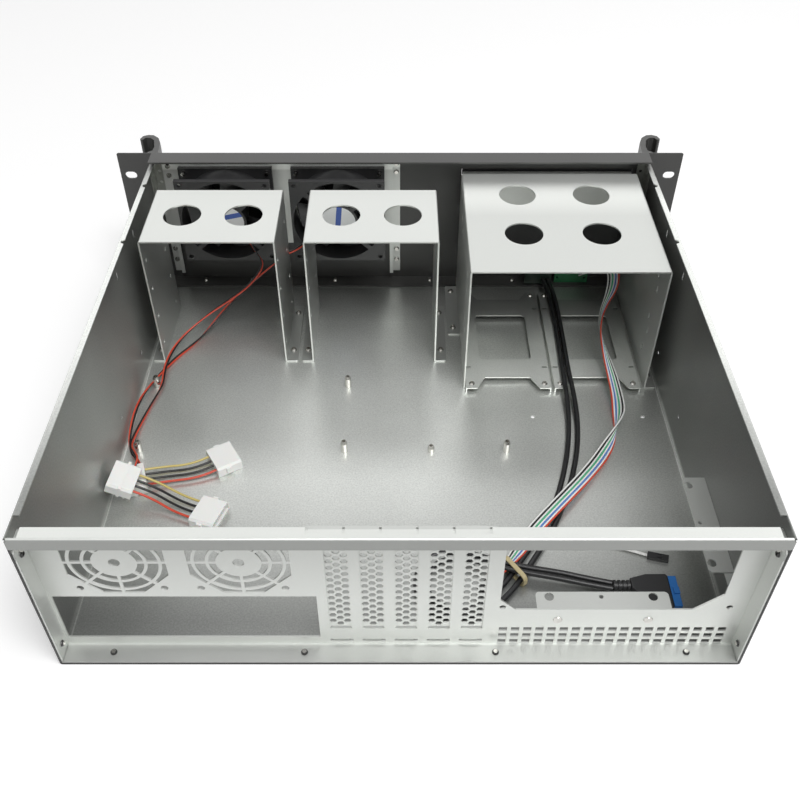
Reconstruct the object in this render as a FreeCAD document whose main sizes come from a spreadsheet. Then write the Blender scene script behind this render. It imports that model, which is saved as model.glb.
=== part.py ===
import FreeCAD, Part

import math
import os

import Sketcher

# An open 3U rackmount server case: a folded steel tray with a recessed rear panel, a front panel with
# rack ears and handles, drive brackets, an optical cage, two front fans and the loose internal cables.
# X runs across the case, Y from the rear edge to the front panel, Z up from the underside of the floor.

doc = FreeCAD.newDocument("ServerCase")
sheet = doc.addObject("Spreadsheet::Sheet", "Sizes")


class Size:
    """A length with its value and the spreadsheet expression that gives it."""

    def __init__(self, value, text):
        self.value = value
        self.text = text

    def __add__(self, other):
        other = as_size(other)
        return Size(self.value + other.value, f"({self.text} + {other.text})")

    def __sub__(self, other):
        other = as_size(other)
        return Size(self.value - other.value, f"({self.text} - {other.text})")

    def __mul__(self, other):
        other = as_size(other)
        return Size(self.value * other.value, f"({self.text} * {other.text})")

    def __truediv__(self, other):
        other = as_size(other)
        return Size(self.value / other.value, f"({self.text} / {other.text})")

    def __radd__(self, other):
        return as_size(other) + self

    def __rsub__(self, other):
        return as_size(other) - self

    def __rmul__(self, other):
        return as_size(other) * self

    def __neg__(self):
        return Size(-self.value, f"(0 - {self.text})")

    def __float__(self):
        return float(self.value)


def as_size(number):
    return number if isinstance(number, Size) else Size(float(number), f"({float(number):.6f})")


rows_used = 0


def size(alias, value):
    """Write one driving dimension into the sheet and return it."""
    global rows_used
    rows_used += 1
    sheet.set(f"A{rows_used}", alias.replace("_", " "))
    sheet.set(f"B{rows_used}", str(value))
    sheet.setAlias(f"B{rows_used}", alias)
    return Size(float(value), f"Sizes.{alias}")


# ---------------------------------------------------------------- driving dimensions
body_width = size("body_width", 425.4)
body_height = size("body_height", 128.0)
body_depth = size("body_depth", 401.5)
steel = size("steel_thickness", 1.0)
bend = size("bend_radius", 1.6)
top_flange = size("top_flange_width", 4.6)
flange_start = size("top_flange_rear_end", 15.7)
seat_gap = size("seat_gap", 0.1)
screw_hole = size("screw_hole_radius", 1.6)

rear_recess = size("rear_panel_recess", 13.8)
rail_shelf = size("rail_shelf_height", 118.6)
rail_top = size("rail_top_height", 126.5)
rail_flange = size("rail_flange_depth", 8.8)
rail_inset = size("rail_flange_inset", 5.6)
tab_notch_depth = size("tab_notch_depth", 4.4)

io_right = size("io_right_edge", -50.1)
io_bottom = size("io_bottom", 9.2)
io_width = size("io_width", 158.75)
io_height = size("io_height", 44.45)

vent_fan_first = size("rear_fan_first_centre", -164.4)
vent_fan_pitch = size("rear_fan_pitch", 71.6)
vent_fan_height = size("rear_fan_height", 87.4)
vent_fan_holes = size("rear_fan_hole_spacing", 50.0)
vent_fan_reach = size("rear_fan_opening_apothem", 29.5)

slot_pitch = size("slot_pitch", 20.32)
slot_first = size("slot_first_centre", -36.7)
slot_offset = size("slot_opening_offset", -0.15)
tab_offset = size("slot_tab_offset", -4.6)
slot_width = size("slot_opening_width", 13.7)
slot_bottom = size("slot_bottom", 18.6)
slot_top = size("slot_top", 112.0)
tongue_width = size("tongue_slit_width", 14.6)
tongue_height = size("tongue_slit_height", 5.6)
cover_width = size("slot_cover_width", 18.9)
cover_thickness = size("slot_cover_thickness", 0.8)

psu_centre = size("psu_centre", 131.25)
psu_spacing = size("psu_hole_spacing", 137.7)
psu_hole_height = size("psu_hole_height", 42.2)
psu_seat = size("psu_seat_height", 38.0)
psu_open_left = size("psu_opening_left", 60.5)
psu_open_right = size("psu_opening_right", 194.2)
psu_open_bottom = size("psu_opening_bottom", 39.6)
psu_open_top = size("psu_opening_top", 111.0)

grid_left = size("vent_grid_left_centre", 64.3)
grid_pitch = size("vent_grid_pitch", 7.6)
grid_rise = size("vent_grid_row_pitch", 6.8)
grid_bottom = size("vent_grid_bottom_centre", 4.5)
grid_hole_width = size("vent_hole_width", 5.2)
grid_hole_height = size("vent_hole_height", 4.2)

panel_width = size("panel_width", 482.6)
panel_height = size("panel_height", 131.5)
panel_thickness = size("panel_thickness", 1.6)
panel_top_flange = size("panel_top_flange_depth", 15.6)
panel_bottom_flange = size("panel_bottom_flange_depth", 14.4)
ear_slot_spacing = size("ear_slot_spacing", 88.9)
ear_hole_spacing = size("ear_hole_spacing", 465.1)
ear_slot_length = size("ear_slot_length", 10.0)
ear_slot_radius = size("ear_slot_radius", 3.4)

handle_reach = size("handle_reach", 33.0)
handle_wall = size("handle_wall", 3.6)
handle_foot = size("handle_foot_width", 9.0)
handle_inner = size("handle_inner_face", 206.8)
handle_margin = size("handle_end_margin", 1.5)

drive_width = size("drive_bracket_inner_width", 102.1)
drive_sheet = size("drive_bracket_sheet", 1.2)
drive_top = size("drive_bracket_height", 122.4)
drive_rear = size("drive_bracket_rear", 282.9)
drive_depth = size("drive_bracket_depth", 74.4)
drive_foot = size("drive_foot_width", 9.2)
drive_left = size("drive_left_centre", -148.2)
drive_middle = size("drive_middle_centre", -22.0)
drive_hole_radius = size("drive_top_hole_radius", 15.0)
drive_hole_spacing = size("drive_top_hole_spacing", 48.7)

cage_left = size("cage_left", 52.3)
cage_inner = size("cage_inner_width", 147.1)
cage_sheet = size("cage_sheet", 1.2)
cage_top = size("cage_height", 118.6)
cage_rear = size("cage_rear", 249.6)
cage_depth = size("cage_depth", 140.0)
cage_step_depth = size("cage_step_depth", 9.0)
cage_foot = size("cage_foot_width", 8.4)
cage_hole_radius = size("cage_hole_radius", 15.0)

ssd_width = size("ssd_tray_width", 69.9)
ssd_length = size("ssd_tray_length", 127.2)
ssd_rear = size("ssd_tray_rear", 244.9)
ssd_left = size("ssd_tray_left_edge", 54.0)
ssd_pitch = size("ssd_tray_pitch", 72.7)
ssd_lift = size("ssd_tray_lift", 5.0)
ssd_sheet = size("ssd_tray_sheet", 1.0)

fan_side = size("fan_side", 80.0)
fan_depth = size("fan_depth", 25.0)
fan_bottom = size("fan_bottom", 42.9)
fan_left = size("fan_left_centre", -149.4)
fan_right = size("fan_right_centre", -53.3)
fan_hole_spacing = size("fan_hole_spacing", 71.5)
fan_duct = size("fan_duct_radius", 38.2)
fan_flange = size("fan_flange_thickness", 4.0)
fan_hub = size("fan_hub_radius", 16.6)
fan_tip_gap = size("fan_tip_gap", 0.8)
fan_blades = 7

fan_plate_left = size("fan_plate_left", -209.6)
fan_plate_right = size("fan_plate_right", 0.0)
fan_plate_top = size("fan_plate_top", 126.8)
fan_plate_bottom = size("fan_plate_bottom", 10.5)
fan_plate_sheet = size("fan_plate_sheet", 1.0)
fan_plate_joggle = size("fan_plate_joggle", 4.0)
fan_plate_strip = size("fan_plate_strip", 6.4)

board_hole_first = size("board_hole_first", -200.3)
board_hole_middle = size("board_hole_middle", 157.48)
board_hole_last = size("board_hole_last", 281.94)
board_row_first = size("board_row_first", 180.0)
board_row_pitch = size("board_row_pitch", 72.39)
standoff_height = size("standoff_height", 11.0)
standoff_radius = size("standoff_radius", 2.6)

bay_left = cage_left + cage_sheet - 0.3
bay_width = size("bay_width", 147.0)
bay_height = size("bay_height", 41.4)
bay_pitch = size("bay_pitch", 42.6)
bay_bottom = size("bay_bottom", 33.6)
port_width = size("usb_port_width", 5.8)
port_height = size("usb_port_height", 13.2)
port_left = size("usb_port_left", 118.5)
port_pitch = size("usb_port_pitch", 9.6)
port_bottom = size("usb_port_bottom", 9.0)
port_clear = size("usb_port_clearance", 0.3)
button_height = size("button_height", 13.5)
button_clear = size("button_clearance", 0.35)
button_travel = size("button_travel", 1.5)
power_across = size("power_button_centre", 167.0)
power_radius = size("power_button_radius", 5.0)
reset_across = size("reset_button_centre", 154.5)
reset_radius = size("reset_button_radius", 2.5)
light_across = size("first_light_centre", 152.0)
light_height = size("light_height", 25.0)
light_pitch = size("light_pitch", 8.0)
light_radius = size("light_radius", 1.5)
switch_setback = size("control_board_setback", 9.5)
intake_bottom = size("intake_bottom", 48.0)

inner_half = body_width / 2 - steel
floor_top = steel
web_back = rear_recess
web_front = rear_recess + steel
panel_back = body_depth
panel_front = body_depth + panel_thickness
panel_top = floor_top + panel_height
panel_middle = floor_top + panel_height / 2
switch_face = panel_back - switch_setback
fan_back = panel_back - fan_plate_joggle - fan_plate_sheet - fan_depth - seat_gap
slot_count = 5

REAR_FLOOR_SCREWS = (-180.4, -60.2, 60.2, 180.4)
REAR_SIDE_SCREWS = (12.6, 108.6)
REAR_SCREW_SETBACK = 7.2

parts = {}


# ---------------------------------------------------------------- sketch and feature helpers
def bind(thing, prop, amount):
    """Tie one property to the sheet."""
    thing.setExpression(prop, as_size(amount).text)


def move_to(thing, x=0, y=0, z=0):
    for axis, amount in zip("xyz", (x, y, z)):
        bind(thing, f"Placement.Base.{axis}", amount)


def keep(name, thing):
    """Name a finished sub-part."""
    thing.Label = name
    parts[name] = thing
    return thing


class Folded:
    """One PartDesign body, built up from sketches on its own origin planes."""

    def __init__(self, name):
        self.name = name
        self.body = doc.addObject("PartDesign::Body", name)
        self.steps = 0
        keep(name, self.body)

    def sketch(self, role, offset):
        """A sketch on an origin plane, lifted along that plane's normal."""
        self.steps += 1
        made = self.body.newObject("Sketcher::SketchObject", f"{self.name}_sketch_{self.steps}")
        for origin in self.body.Origin.OriginFeatures:
            if origin.Role == role:
                made.AttachmentSupport = [(origin, "")]
        made.MapMode = "FlatFace"
        # The XZ plane's normal points along -Y.
        lift = -as_size(offset) if role == "XZ_Plane" else as_size(offset)
        bind(made, "AttachmentOffset.Base.z", lift)
        return made

    def pad(self, made, length):
        """Pad a sketch towards +X, +Y or +Z."""
        self.steps += 1
        feature = self.body.newObject("PartDesign::Pad", f"{self.name}_pad_{self.steps}")
        feature.Profile = made
        feature.Refine = False
        feature.Reversed = made.AttachmentSupport[0][0].Role == "XZ_Plane"
        bind(feature, "Length", length)
        return feature

    def pocket(self, made, length):
        """Cut a sketch towards +X, +Y or +Z."""
        self.steps += 1
        feature = self.body.newObject("PartDesign::Pocket", f"{self.name}_pocket_{self.steps}")
        feature.Profile = made
        feature.Refine = False
        feature.Reversed = made.AttachmentSupport[0][0].Role != "XZ_Plane"
        bind(feature, "Length", length)
        return feature

    def row(self, feature, axis, spacing, count):
        """Repeat a feature along its sketch's horizontal or vertical axis."""
        self.steps += 1
        pattern = self.body.newObject("PartDesign::LinearPattern", f"{self.name}_row_{self.steps}")
        pattern.Originals = [feature]
        pattern.Refine = False
        pattern.Direction = (feature.Profile[0], [axis])
        bind(pattern, "Length", as_size(spacing) * (count - 1))
        pattern.Occurrences = count
        self.body.Tip = pattern
        return pattern

    def soften(self, chosen, radius):
        """Fillet the edges whose middle point and direction pass the test."""
        doc.recompute()
        base = self.body.Tip
        names = []
        for number, edge in enumerate(base.Shape.Edges, 1):
            if edge.Curve.TypeId != "Part::GeomLine":
                continue
            middle = edge.valueAt((edge.FirstParameter + edge.LastParameter) / 2)
            if chosen(middle, edge.tangentAt(edge.FirstParameter), edge.Length):
                names.append(f"Edge{number}")
        if not names:
            raise RuntimeError(f"{self.name}: no edge to round")
        self.steps += 1
        feature = self.body.newObject("PartDesign::Fillet", f"{self.name}_fillet_{self.steps}")
        feature.Base = (base, names)
        bind(feature, "Radius", radius)
        return feature


def fix_point(made, geometry, end, x, y):
    """Pin one point of a sketch to named sizes."""
    for kind, amount in (("DistanceX", as_size(x)), ("DistanceY", as_size(y))):
        number = made.addConstraint(Sketcher.Constraint(kind, -1, 1, geometry, end, amount.value))
        made.setExpression(f"Constraints[{number}]", amount.text)


def outline(made, points):
    """A closed run of straight lines through bound corners."""
    first = made.GeometryCount
    corners = [FreeCAD.Vector(float(as_size(x)), float(as_size(y)), 0) for x, y in points]
    count = len(corners)
    for index in range(count):
        made.addGeometry(Part.LineSegment(corners[index], corners[(index + 1) % count]), False)
    for index in range(count):
        after = (index + 1) % count
        made.addConstraint(Sketcher.Constraint("Coincident", first + index, 2, first + after, 1))
    for index, (x, y) in enumerate(points):
        fix_point(made, first + index, 1, x, y)
    return made


def oblong(made, left, bottom, right, top):
    return outline(made, [(left, bottom), (right, bottom), (right, top), (left, top)])


def ring(made, x, y, radius):
    number = made.addGeometry(
        Part.Circle(FreeCAD.Vector(float(as_size(x)), float(as_size(y)), 0),
                    FreeCAD.Vector(0, 0, 1), float(as_size(radius))), False)
    fix_point(made, number, 3, x, y)
    tied = made.addConstraint(Sketcher.Constraint("Radius", number, float(as_size(radius))))
    made.setExpression(f"Constraints[{tied}]", as_size(radius).text)
    return made


def near(value, target):
    return abs(value - float(target)) < 0.02


# ---------------------------------------------------------------- primitive helpers
def block(name, low, high):
    """A Part::Box between two bound corners."""
    made = doc.addObject("Part::Box", name)
    for prop, start, end in zip(("Length", "Width", "Height"), low, high):
        bind(made, prop, as_size(end) - start)
    move_to(made, *low)
    return made


TURNS = {
    "+Z": FreeCAD.Rotation(),
    "-Z": FreeCAD.Rotation(FreeCAD.Vector(1, 0, 0), 180),
    "+Y": FreeCAD.Rotation(FreeCAD.Vector(1, 0, 0), -90),
    "-Y": FreeCAD.Rotation(FreeCAD.Vector(1, 0, 0), 90),
    "+X": FreeCAD.Rotation(FreeCAD.Vector(0, 1, 0), 90),
    "-X": FreeCAD.Rotation(FreeCAD.Vector(0, 1, 0), -90),
}


def rod(name, centre, radius, length, way="+Z"):
    """A Part::Cylinder from a bound point along one of the axes."""
    made = doc.addObject("Part::Cylinder", name)
    made.Placement = FreeCAD.Placement(FreeCAD.Vector(), TURNS[way])
    bind(made, "Radius", radius)
    bind(made, "Height", length)
    move_to(made, *centre)
    return made


def cone(name, centre, radius_1, radius_2, length, way="+Z"):
    made = doc.addObject("Part::Cone", name)
    made.Placement = FreeCAD.Placement(FreeCAD.Vector(), TURNS[way])
    bind(made, "Radius1", radius_1)
    bind(made, "Radius2", radius_2)
    bind(made, "Height", length)
    move_to(made, *centre)
    return made


def joined(name, pieces):
    made = doc.addObject("Part::MultiFuse", name)
    made.Shapes = pieces
    made.Refine = True
    return made


def bored(name, base, tools):
    """Cut one or more tools out of a base."""
    made = doc.addObject("Part::Cut", name)
    made.Base = base
    if len(tools) == 1:
        made.Tool = tools[0]
    else:
        made.Tool = joined(f"{name}_tools", tools)
    made.Refine = True
    return made


def grouped(name, pieces):
    """Like pieces that share one node as separate solids."""
    made = doc.addObject("Part::Compound", name)
    made.Links = pieces
    return made


# ---------------------------------------------------------------- chassis tray
def chassis_tray():
    """Floor, walls and inward top flanges folded from one sheet."""
    tray = Folded("chassis_tray")
    half = body_width / 2
    lip = half - top_flange
    section = tray.sketch("XZ_Plane", 0)
    outline(section, [
        (-half, 0), (half, 0), (half, body_height), (lip, body_height),
        (lip, body_height - steel), (inner_half, body_height - steel), (inner_half, steel),
        (-inner_half, steel), (-inner_half, body_height - steel), (-lip, body_height - steel),
        (-lip, body_height), (-half, body_height),
    ])
    tray.pad(section, body_depth)
    tray.soften(lambda p, d, n: abs(d.y) > 0.9 and near(abs(p.x), half), bend)

    # The top flanges stop short of the rear edge, and the walls are notched for the rail's lip.
    ends = tray.sketch("XY_Plane", body_height - bend - 1)
    for side in (-1, 1):
        oblong(ends, side * inner_half, -1, side * (lip - 1), flange_start)
    tray.pocket(ends, bend + 2)
    notches = tray.sketch("XY_Plane", rail_shelf - steel)
    for side in (-1, 1):
        oblong(notches, side * (inner_half - 1), -1, side * (half + 1), steel + seat_gap)
    tray.pocket(notches, rail_top - rail_shelf + steel)

    # Half-round reliefs in the flanges, through slots and thread holes in the walls.
    reliefs = tray.sketch("XY_Plane", body_height - bend - 1)
    for side in (-1, 1):
        for along in (276.8, 356.8):
            ring(reliefs, side * lip, along, 2.6)
    tray.pocket(reliefs, bend + 2)
    walls = tray.sketch("YZ_Plane", -half - 1)
    for along in (254.5, 311.0):
        oblong(walls, along - 1.2, 109.0, along + 1.2, 115.0)
    for along in (192.0, 266.0):
        ring(walls, along, 26.0, 1.6)
    for level in REAR_SIDE_SCREWS:
        ring(walls, REAR_SCREW_SETBACK, level, screw_hole)
    tray.pocket(walls, body_width + 2)
    holes = tray.sketch("XY_Plane", -1)
    for across in (106.0, 193.7):
        ring(holes, across, 216.8, 1.65)
    for across in REAR_FLOOR_SCREWS:
        ring(holes, across, REAR_SCREW_SETBACK, screw_hole)
    tray.pocket(holes, steel + 2)


# ---------------------------------------------------------------- rear panel
def rear_panel():
    """The recessed rear sheet: floor flange, web, and a rail folded back over itself."""
    panel = Folded("rear_panel")
    half = inner_half - seat_gap
    low = floor_top + seat_gap
    section = panel.sketch("YZ_Plane", -half)
    outline(section, [
        (0.4, low), (web_front, low), (web_front, rail_shelf), (steel, rail_shelf),
        (steel, rail_top - steel), (rail_flange, rail_top - steel), (rail_flange, rail_top),
        (0, rail_top), (0, rail_shelf - steel), (web_back, rail_shelf - steel),
        (web_back, low + steel), (0.4, low + steel),
    ])
    panel.pad(section, half * 2)
    panel.soften(lambda p, d, n: abs(d.x) > 0.9 and (
        (near(p.y, 0) and near(p.z, rail_top)) or (near(p.y, web_front) and near(p.z, rail_shelf))), bend)

    # The rail's flange is shorter than its lip, which reaches out through the walls' notches.
    trims = panel.sketch("XY_Plane", rail_top - steel - 0.5)
    for side in (-1, 1):
        edge = side * (inner_half - rail_inset)
        outline(trims, [(edge, bend), (side * (half + 1), bend), (side * (half + 1), rail_flange + 1),
                        (edge, rail_flange + 1)])
    tab_left = slot_first + tab_offset - slot_pitch / 2
    oblong(trims, tab_left, tab_notch_depth, tab_left + slot_pitch * slot_count, rail_flange + 1)
    panel.pocket(trims, steel + 1)
    for side in (-1, 1):
        start = -body_width / 2 if side < 0 else inner_half - seat_gap - 1
        ends = panel.sketch("YZ_Plane", start)
        oblong(ends, 0, rail_shelf - steel + 0.3, steel, rail_top - bend)
        panel.pad(ends, steel + seat_gap + 1)

    # Side flanges lie on the walls, with their upper rear corners rounded.
    flange_top = rail_shelf - steel - 2.4
    for side in (-1, 1):
        start = -half if side < 0 else half - steel
        flange = panel.sketch("YZ_Plane", start)
        outline(flange, [(0.6, low + steel + 0.3), (web_back + 0.2, low + steel + 0.3),
                         (web_back + 0.2, flange_top), (0.6, flange_top)])
        panel.pad(flange, steel)
    panel.soften(lambda p, d, n: abs(d.x) > 0.9 and n < 1.5 and near(p.y, 0.6)
                 and near(p.z, flange_top), 3.0)

    # Clearance holes for the screws that hold the panel to the floor and walls.
    holes = panel.sketch("XY_Plane", low - 0.5)
    for across in REAR_FLOOR_SCREWS:
        ring(holes, across, REAR_SCREW_SETBACK, screw_hole)
    panel.pocket(holes, steel + 1)
    holes = panel.sketch("YZ_Plane", -half - 1)
    for level in REAR_SIDE_SCREWS:
        ring(holes, REAR_SCREW_SETBACK, level, screw_hole)
    panel.pocket(holes, half * 2 + 2)

    # Openings for the I/O plate, the expansion slots and their tongues, and the power supply.
    cuts = panel.sketch("XZ_Plane", web_back - 0.5)
    oblong(cuts, io_right - io_width, io_bottom, io_right, io_bottom + io_height)
    outline(cuts, [
        (psu_open_left, psu_open_bottom + 10.2), (psu_open_left + 10.0, psu_open_bottom),
        (psu_open_right - 15.5, psu_open_bottom), (psu_open_right, psu_open_bottom + 15.5),
        (psu_open_right, psu_open_top), (psu_open_left, psu_open_top),
    ])
    for across, up in ((-0.5, 0), (0.5, 0), (0.5, 64.0)):
        ring(cuts, psu_centre + psu_spacing * across, psu_hole_height + up, 2.0)
    panel.pocket(cuts, steel + 1)
    # Two fan openings: an octagon each, bridged by eight spokes, two rings and a hub.
    apothem = vent_fan_reach
    corner = apothem * math.tan(math.pi / 8)
    for number in range(2):
        across = vent_fan_first + vent_fan_pitch * number
        opening = panel.sketch("XZ_Plane", web_back - 0.5)
        outline(opening, [
            (across - corner, vent_fan_height - apothem), (across + corner, vent_fan_height - apothem),
            (across + apothem, vent_fan_height - corner), (across + apothem, vent_fan_height + corner),
            (across + corner, vent_fan_height + apothem), (across - corner, vent_fan_height + apothem),
            (across - apothem, vent_fan_height + corner), (across - apothem, vent_fan_height - corner),
        ])
        panel.pocket(opening, steel + 1)
        for turn in range(4):
            angle = math.pi * turn / 4
            reach = apothem + 0.5
            corners = []
            for along, off in ((-1, -1), (1, -1), (1, 1), (-1, 1)):
                dx = reach * (along * math.cos(angle)) - off * math.sin(angle)
                dz = reach * (along * math.sin(angle)) + off * math.cos(angle)
                corners.append((across + dx, vent_fan_height + dz))
            panel.pad(outline(panel.sketch("XZ_Plane", web_back), corners), steel)
        for outer, inner in ((13.2, 3.4), (19.2, 17.2), (27.4, 25.4)):
            band = panel.sketch("XZ_Plane", web_back)
            ring(band, across, vent_fan_height, outer)
            if inner > 5:
                ring(band, across, vent_fan_height, inner)
            panel.pad(band, steel)
        drills = panel.sketch("XZ_Plane", web_back - 0.5)
        ring(drills, across, vent_fan_height, 3.4)
        for dx in (-0.5, 0.5):
            for dz in (-0.5, 0.5):
                ring(drills, across + vent_fan_holes * dx, vent_fan_height + vent_fan_holes * dz, 2.2)
        panel.pocket(drills, steel + 1)

    left = slot_first + slot_offset - slot_width / 2
    slots = panel.sketch("XZ_Plane", web_back - 0.5)
    oblong(slots, left, slot_bottom, left + slot_width, slot_top)
    panel.row(panel.pocket(slots, steel + 1), "H_Axis", slot_pitch, slot_count)
    tongues = panel.sketch("XZ_Plane", web_back - 0.5)
    oblong(tongues, slot_first - tongue_width / 2, tongue_height - 1.2,
           slot_first + tongue_width / 2, tongue_height + 1.2)
    panel.row(panel.pocket(tongues, steel + 1), "H_Axis", slot_pitch, slot_count)

    # The vent grid under the power supply: three rows of square holes.
    for line in range(3):
        level = grid_bottom + grid_rise * line
        vents = panel.sketch("XZ_Plane", web_back - 0.5)
        oblong(vents, grid_left - grid_hole_width / 2, level - grid_hole_height / 2,
               grid_left + grid_hole_width / 2, level + grid_hole_height / 2)
        panel.row(panel.pocket(vents, steel + 1), "H_Axis", grid_pitch, 19)


# ---------------------------------------------------------------- expansion slot covers
def slot_covers():
    """Perforated blanking plates behind the slots, with tongues below and tabs over the shelf."""
    back = web_front + seat_gap
    face = back + cover_thickness
    pitch_up = 6.1
    pitch_across = 4.4
    flat = 2.0
    half = cover_width / 2
    top = rail_shelf + seat_gap
    for number in range(slot_count):
        name = f"slot_cover_{number + 1}"
        plate = Folded(name)
        middle = slot_first + slot_pitch * number
        centre = middle + slot_offset
        tab = middle + tab_offset
        upright = plate.sketch("XZ_Plane", back)
        outline(upright, [(centre - half, 9.2), (centre + half, 9.2), (centre + half, top - seat_gap * 2),
                          (tab + half, top - seat_gap * 2), (tab + half, top + cover_thickness),
                          (centre - half, top + cover_thickness)])
        plate.pad(upright, cover_thickness)
        lap = plate.sketch("XY_Plane", top)
        oblong(lap, tab - half, 6.2, tab + half, face)
        plate.pad(lap, cover_thickness)
        plate.soften(lambda p, d, n: abs(d.x) > 0.9 and n > 10 and near(p.y, face) and p.z > 100, 0.6)
        tongue = plate.sketch("XZ_Plane", back)
        oblong(tongue, middle - 5.6, 3.6, middle + 4.6, 9.4)
        plate.pad(tongue, cover_thickness)
        slit = plate.sketch("XZ_Plane", back - 0.5)
        oblong(slit, centre - 6.3, slot_bottom + 0.1, centre + 6.3, slot_bottom + 1.5)
        plate.pocket(slit, cover_thickness + 1)
        for column in range(3):
            level = slot_bottom + 4.4 + (pitch_up / 2 if column != 1 else 0)
            holes = plate.sketch("XZ_Plane", back - 0.5)
            across = centre + pitch_across * (column - 1)
            outline(holes, [(across + flat / math.cos(math.pi / 6) * math.cos(math.pi * k / 3),
                             level + flat / math.cos(math.pi / 6) * math.sin(math.pi * k / 3))
                            for k in range(6)])
            plate.row(plate.pocket(holes, cover_thickness + 1), "V_Axis", pitch_up, 14)


# ---------------------------------------------------------------- power supply brackets
def psu_shelf_bracket():
    """A folded shelf on the rear panel that carries the rear of the power supply."""
    shelf = Folded("psu_shelf_bracket")
    left = psu_centre - 47.4
    width = 82.6
    back = web_front + seat_gap
    section = shelf.sketch("YZ_Plane", left)
    outline(section, [(back, psu_seat - 14), (back + steel, psu_seat - 14), (back + steel, psu_seat - steel),
                      (back + 12.8, psu_seat - steel), (back + 12.8, psu_seat), (back, psu_seat)])
    shelf.pad(section, width)
    shelf.soften(lambda p, d, n: abs(d.z) > 0.9 and n < 2 and near(p.y, back + 12.8), 2.6)
    holes = shelf.sketch("XY_Plane", psu_seat - steel - 0.5)
    for across, radius in ((psu_centre - 39.0, 2.9), (psu_centre + 25.3, 2.9), (psu_centre - 6.8, 1.4)):
        ring(holes, across, back + 9.2, radius)
    shelf.pocket(holes, steel + 1)


def psu_side_bracket():
    """A folded ledge on the right wall under the side of the power supply."""
    ledge = Folded("psu_side_bracket")
    rear = 42.0
    length = 78.9
    wall = inner_half - seat_gap
    reach = 15.6
    section = ledge.sketch("XZ_Plane", rear)
    outline(section, [(wall - reach, psu_seat - steel), (wall - steel, psu_seat - steel),
                      (wall - steel, psu_seat - 14), (wall, psu_seat - 14), (wall, psu_seat),
                      (wall - reach, psu_seat)])
    ledge.pad(section, length)
    ledge.soften(lambda p, d, n: abs(d.z) > 0.9 and n < 2 and near(p.x, wall - reach), 2.6)
    holes = ledge.sketch("XY_Plane", psu_seat - steel - 0.5)
    for along, radius in ((7.3, 2.9), (39.4, 1.4), (72.0, 2.9)):
        ring(holes, wall - 12.4, rear + along, radius)
    ledge.pocket(holes, steel + 1)


# ---------------------------------------------------------------- front panel
def front_panel():
    """Front sheet with rack ears, folded back along its top and bottom edges."""
    panel = Folded("front_panel")
    half = panel_width / 2
    body_half = inner_half - seat_gap
    low = floor_top + seat_gap
    face = panel.sketch("XZ_Plane", panel_back)
    oblong(face, -half, low, half, panel_top)
    panel.pad(face, panel_thickness)
    upper = panel.sketch("XY_Plane", panel_top - panel_thickness)
    oblong(upper, -body_half, panel_back - panel_top_flange, body_half, panel_back + 0.2)
    panel.pad(upper, panel_thickness)
    lower = panel.sketch("XY_Plane", low)
    oblong(lower, -body_half, panel_back - panel_bottom_flange, body_half, panel_back + 0.2)
    panel.pad(lower, panel_thickness)
    panel.soften(lambda p, d, n: abs(d.x) > 0.9 and n > 300 and near(p.y, panel_front)
                 and near(p.z, panel_top), 1.2)
    panel.soften(lambda p, d, n: abs(d.y) > 0.9 and near(abs(p.x), half), 1.5)

    # Rack slots, rounded at both ends.
    ears = panel.sketch("XZ_Plane", panel_back - 0.5)
    run = ear_slot_length / 2 - ear_slot_radius
    for side in (-1, 1):
        across = side * ear_hole_spacing / 2
        for up in (-0.5, 0.5):
            level = panel_middle + ear_slot_spacing * up
            oblong(ears, across - run, level - ear_slot_radius, across + run, level + ear_slot_radius)
    panel.pocket(ears, panel_thickness + 1)
    for end in (-1, 1):
        rounds = panel.sketch("XZ_Plane", panel_back - 0.5)
        for side in (-1, 1):
            for up in (-0.5, 0.5):
                ring(rounds, side * ear_hole_spacing / 2 + end * run,
                     panel_middle + ear_slot_spacing * up, ear_slot_radius)
        panel.pocket(rounds, panel_thickness + 1)

    # Openings: two drive bays, the USB ports, the buttons and lights.
    cuts = panel.sketch("XZ_Plane", panel_back - 0.5)
    for number in range(2):
        oblong(cuts, bay_left, bay_bottom + bay_pitch * number,
               bay_left + bay_width, bay_bottom + bay_pitch * number + bay_height)
    for number in range(2):
        oblong(cuts, port_left + port_pitch * number - port_clear, port_bottom - port_clear,
               port_left + port_pitch * number + port_width + port_clear,
               port_bottom + port_height + port_clear)
    ring(cuts, power_across, button_height, power_radius + button_clear)
    ring(cuts, reset_across, button_height, reset_radius + button_clear)
    for number in range(2):
        ring(cuts, light_across + light_pitch * number, light_height, light_radius + 0.1)
    panel.pocket(cuts, panel_thickness + 1)

    # The fan intake: rows of slots across both fans.
    first = panel.sketch("XZ_Plane", panel_back - 0.5)
    left = fan_left - 38.0
    outline(first, [(left, intake_bottom), (left + 13.0, intake_bottom), (left + 14.5, intake_bottom + 2.2),
                    (left + 13.0, intake_bottom + 4.4), (left, intake_bottom + 4.4),
                    (left - 1.5, intake_bottom + 2.2)])
    base = panel.pocket(first, panel_thickness + 1)
    count_across = 10
    count_up = 10
    panel.steps += 1
    grid = panel.body.newObject("PartDesign::MultiTransform", "front_panel_intake")
    grid.Originals = [base]
    grid.Refine = False
    across = panel.body.newObject("PartDesign::LinearPattern", "front_panel_intake_across")
    across.Direction = (first, ["H_Axis"])
    bind(across, "Length", as_size(18.0) * (count_across - 1))
    across.Occurrences = count_across
    up = panel.body.newObject("PartDesign::LinearPattern", "front_panel_intake_up")
    up.Direction = (first, ["V_Axis"])
    bind(up, "Length", as_size(7.6) * (count_up - 1))
    up.Occurrences = count_up
    grid.Transformations = [across, up]
    panel.body.Tip = grid


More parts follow.
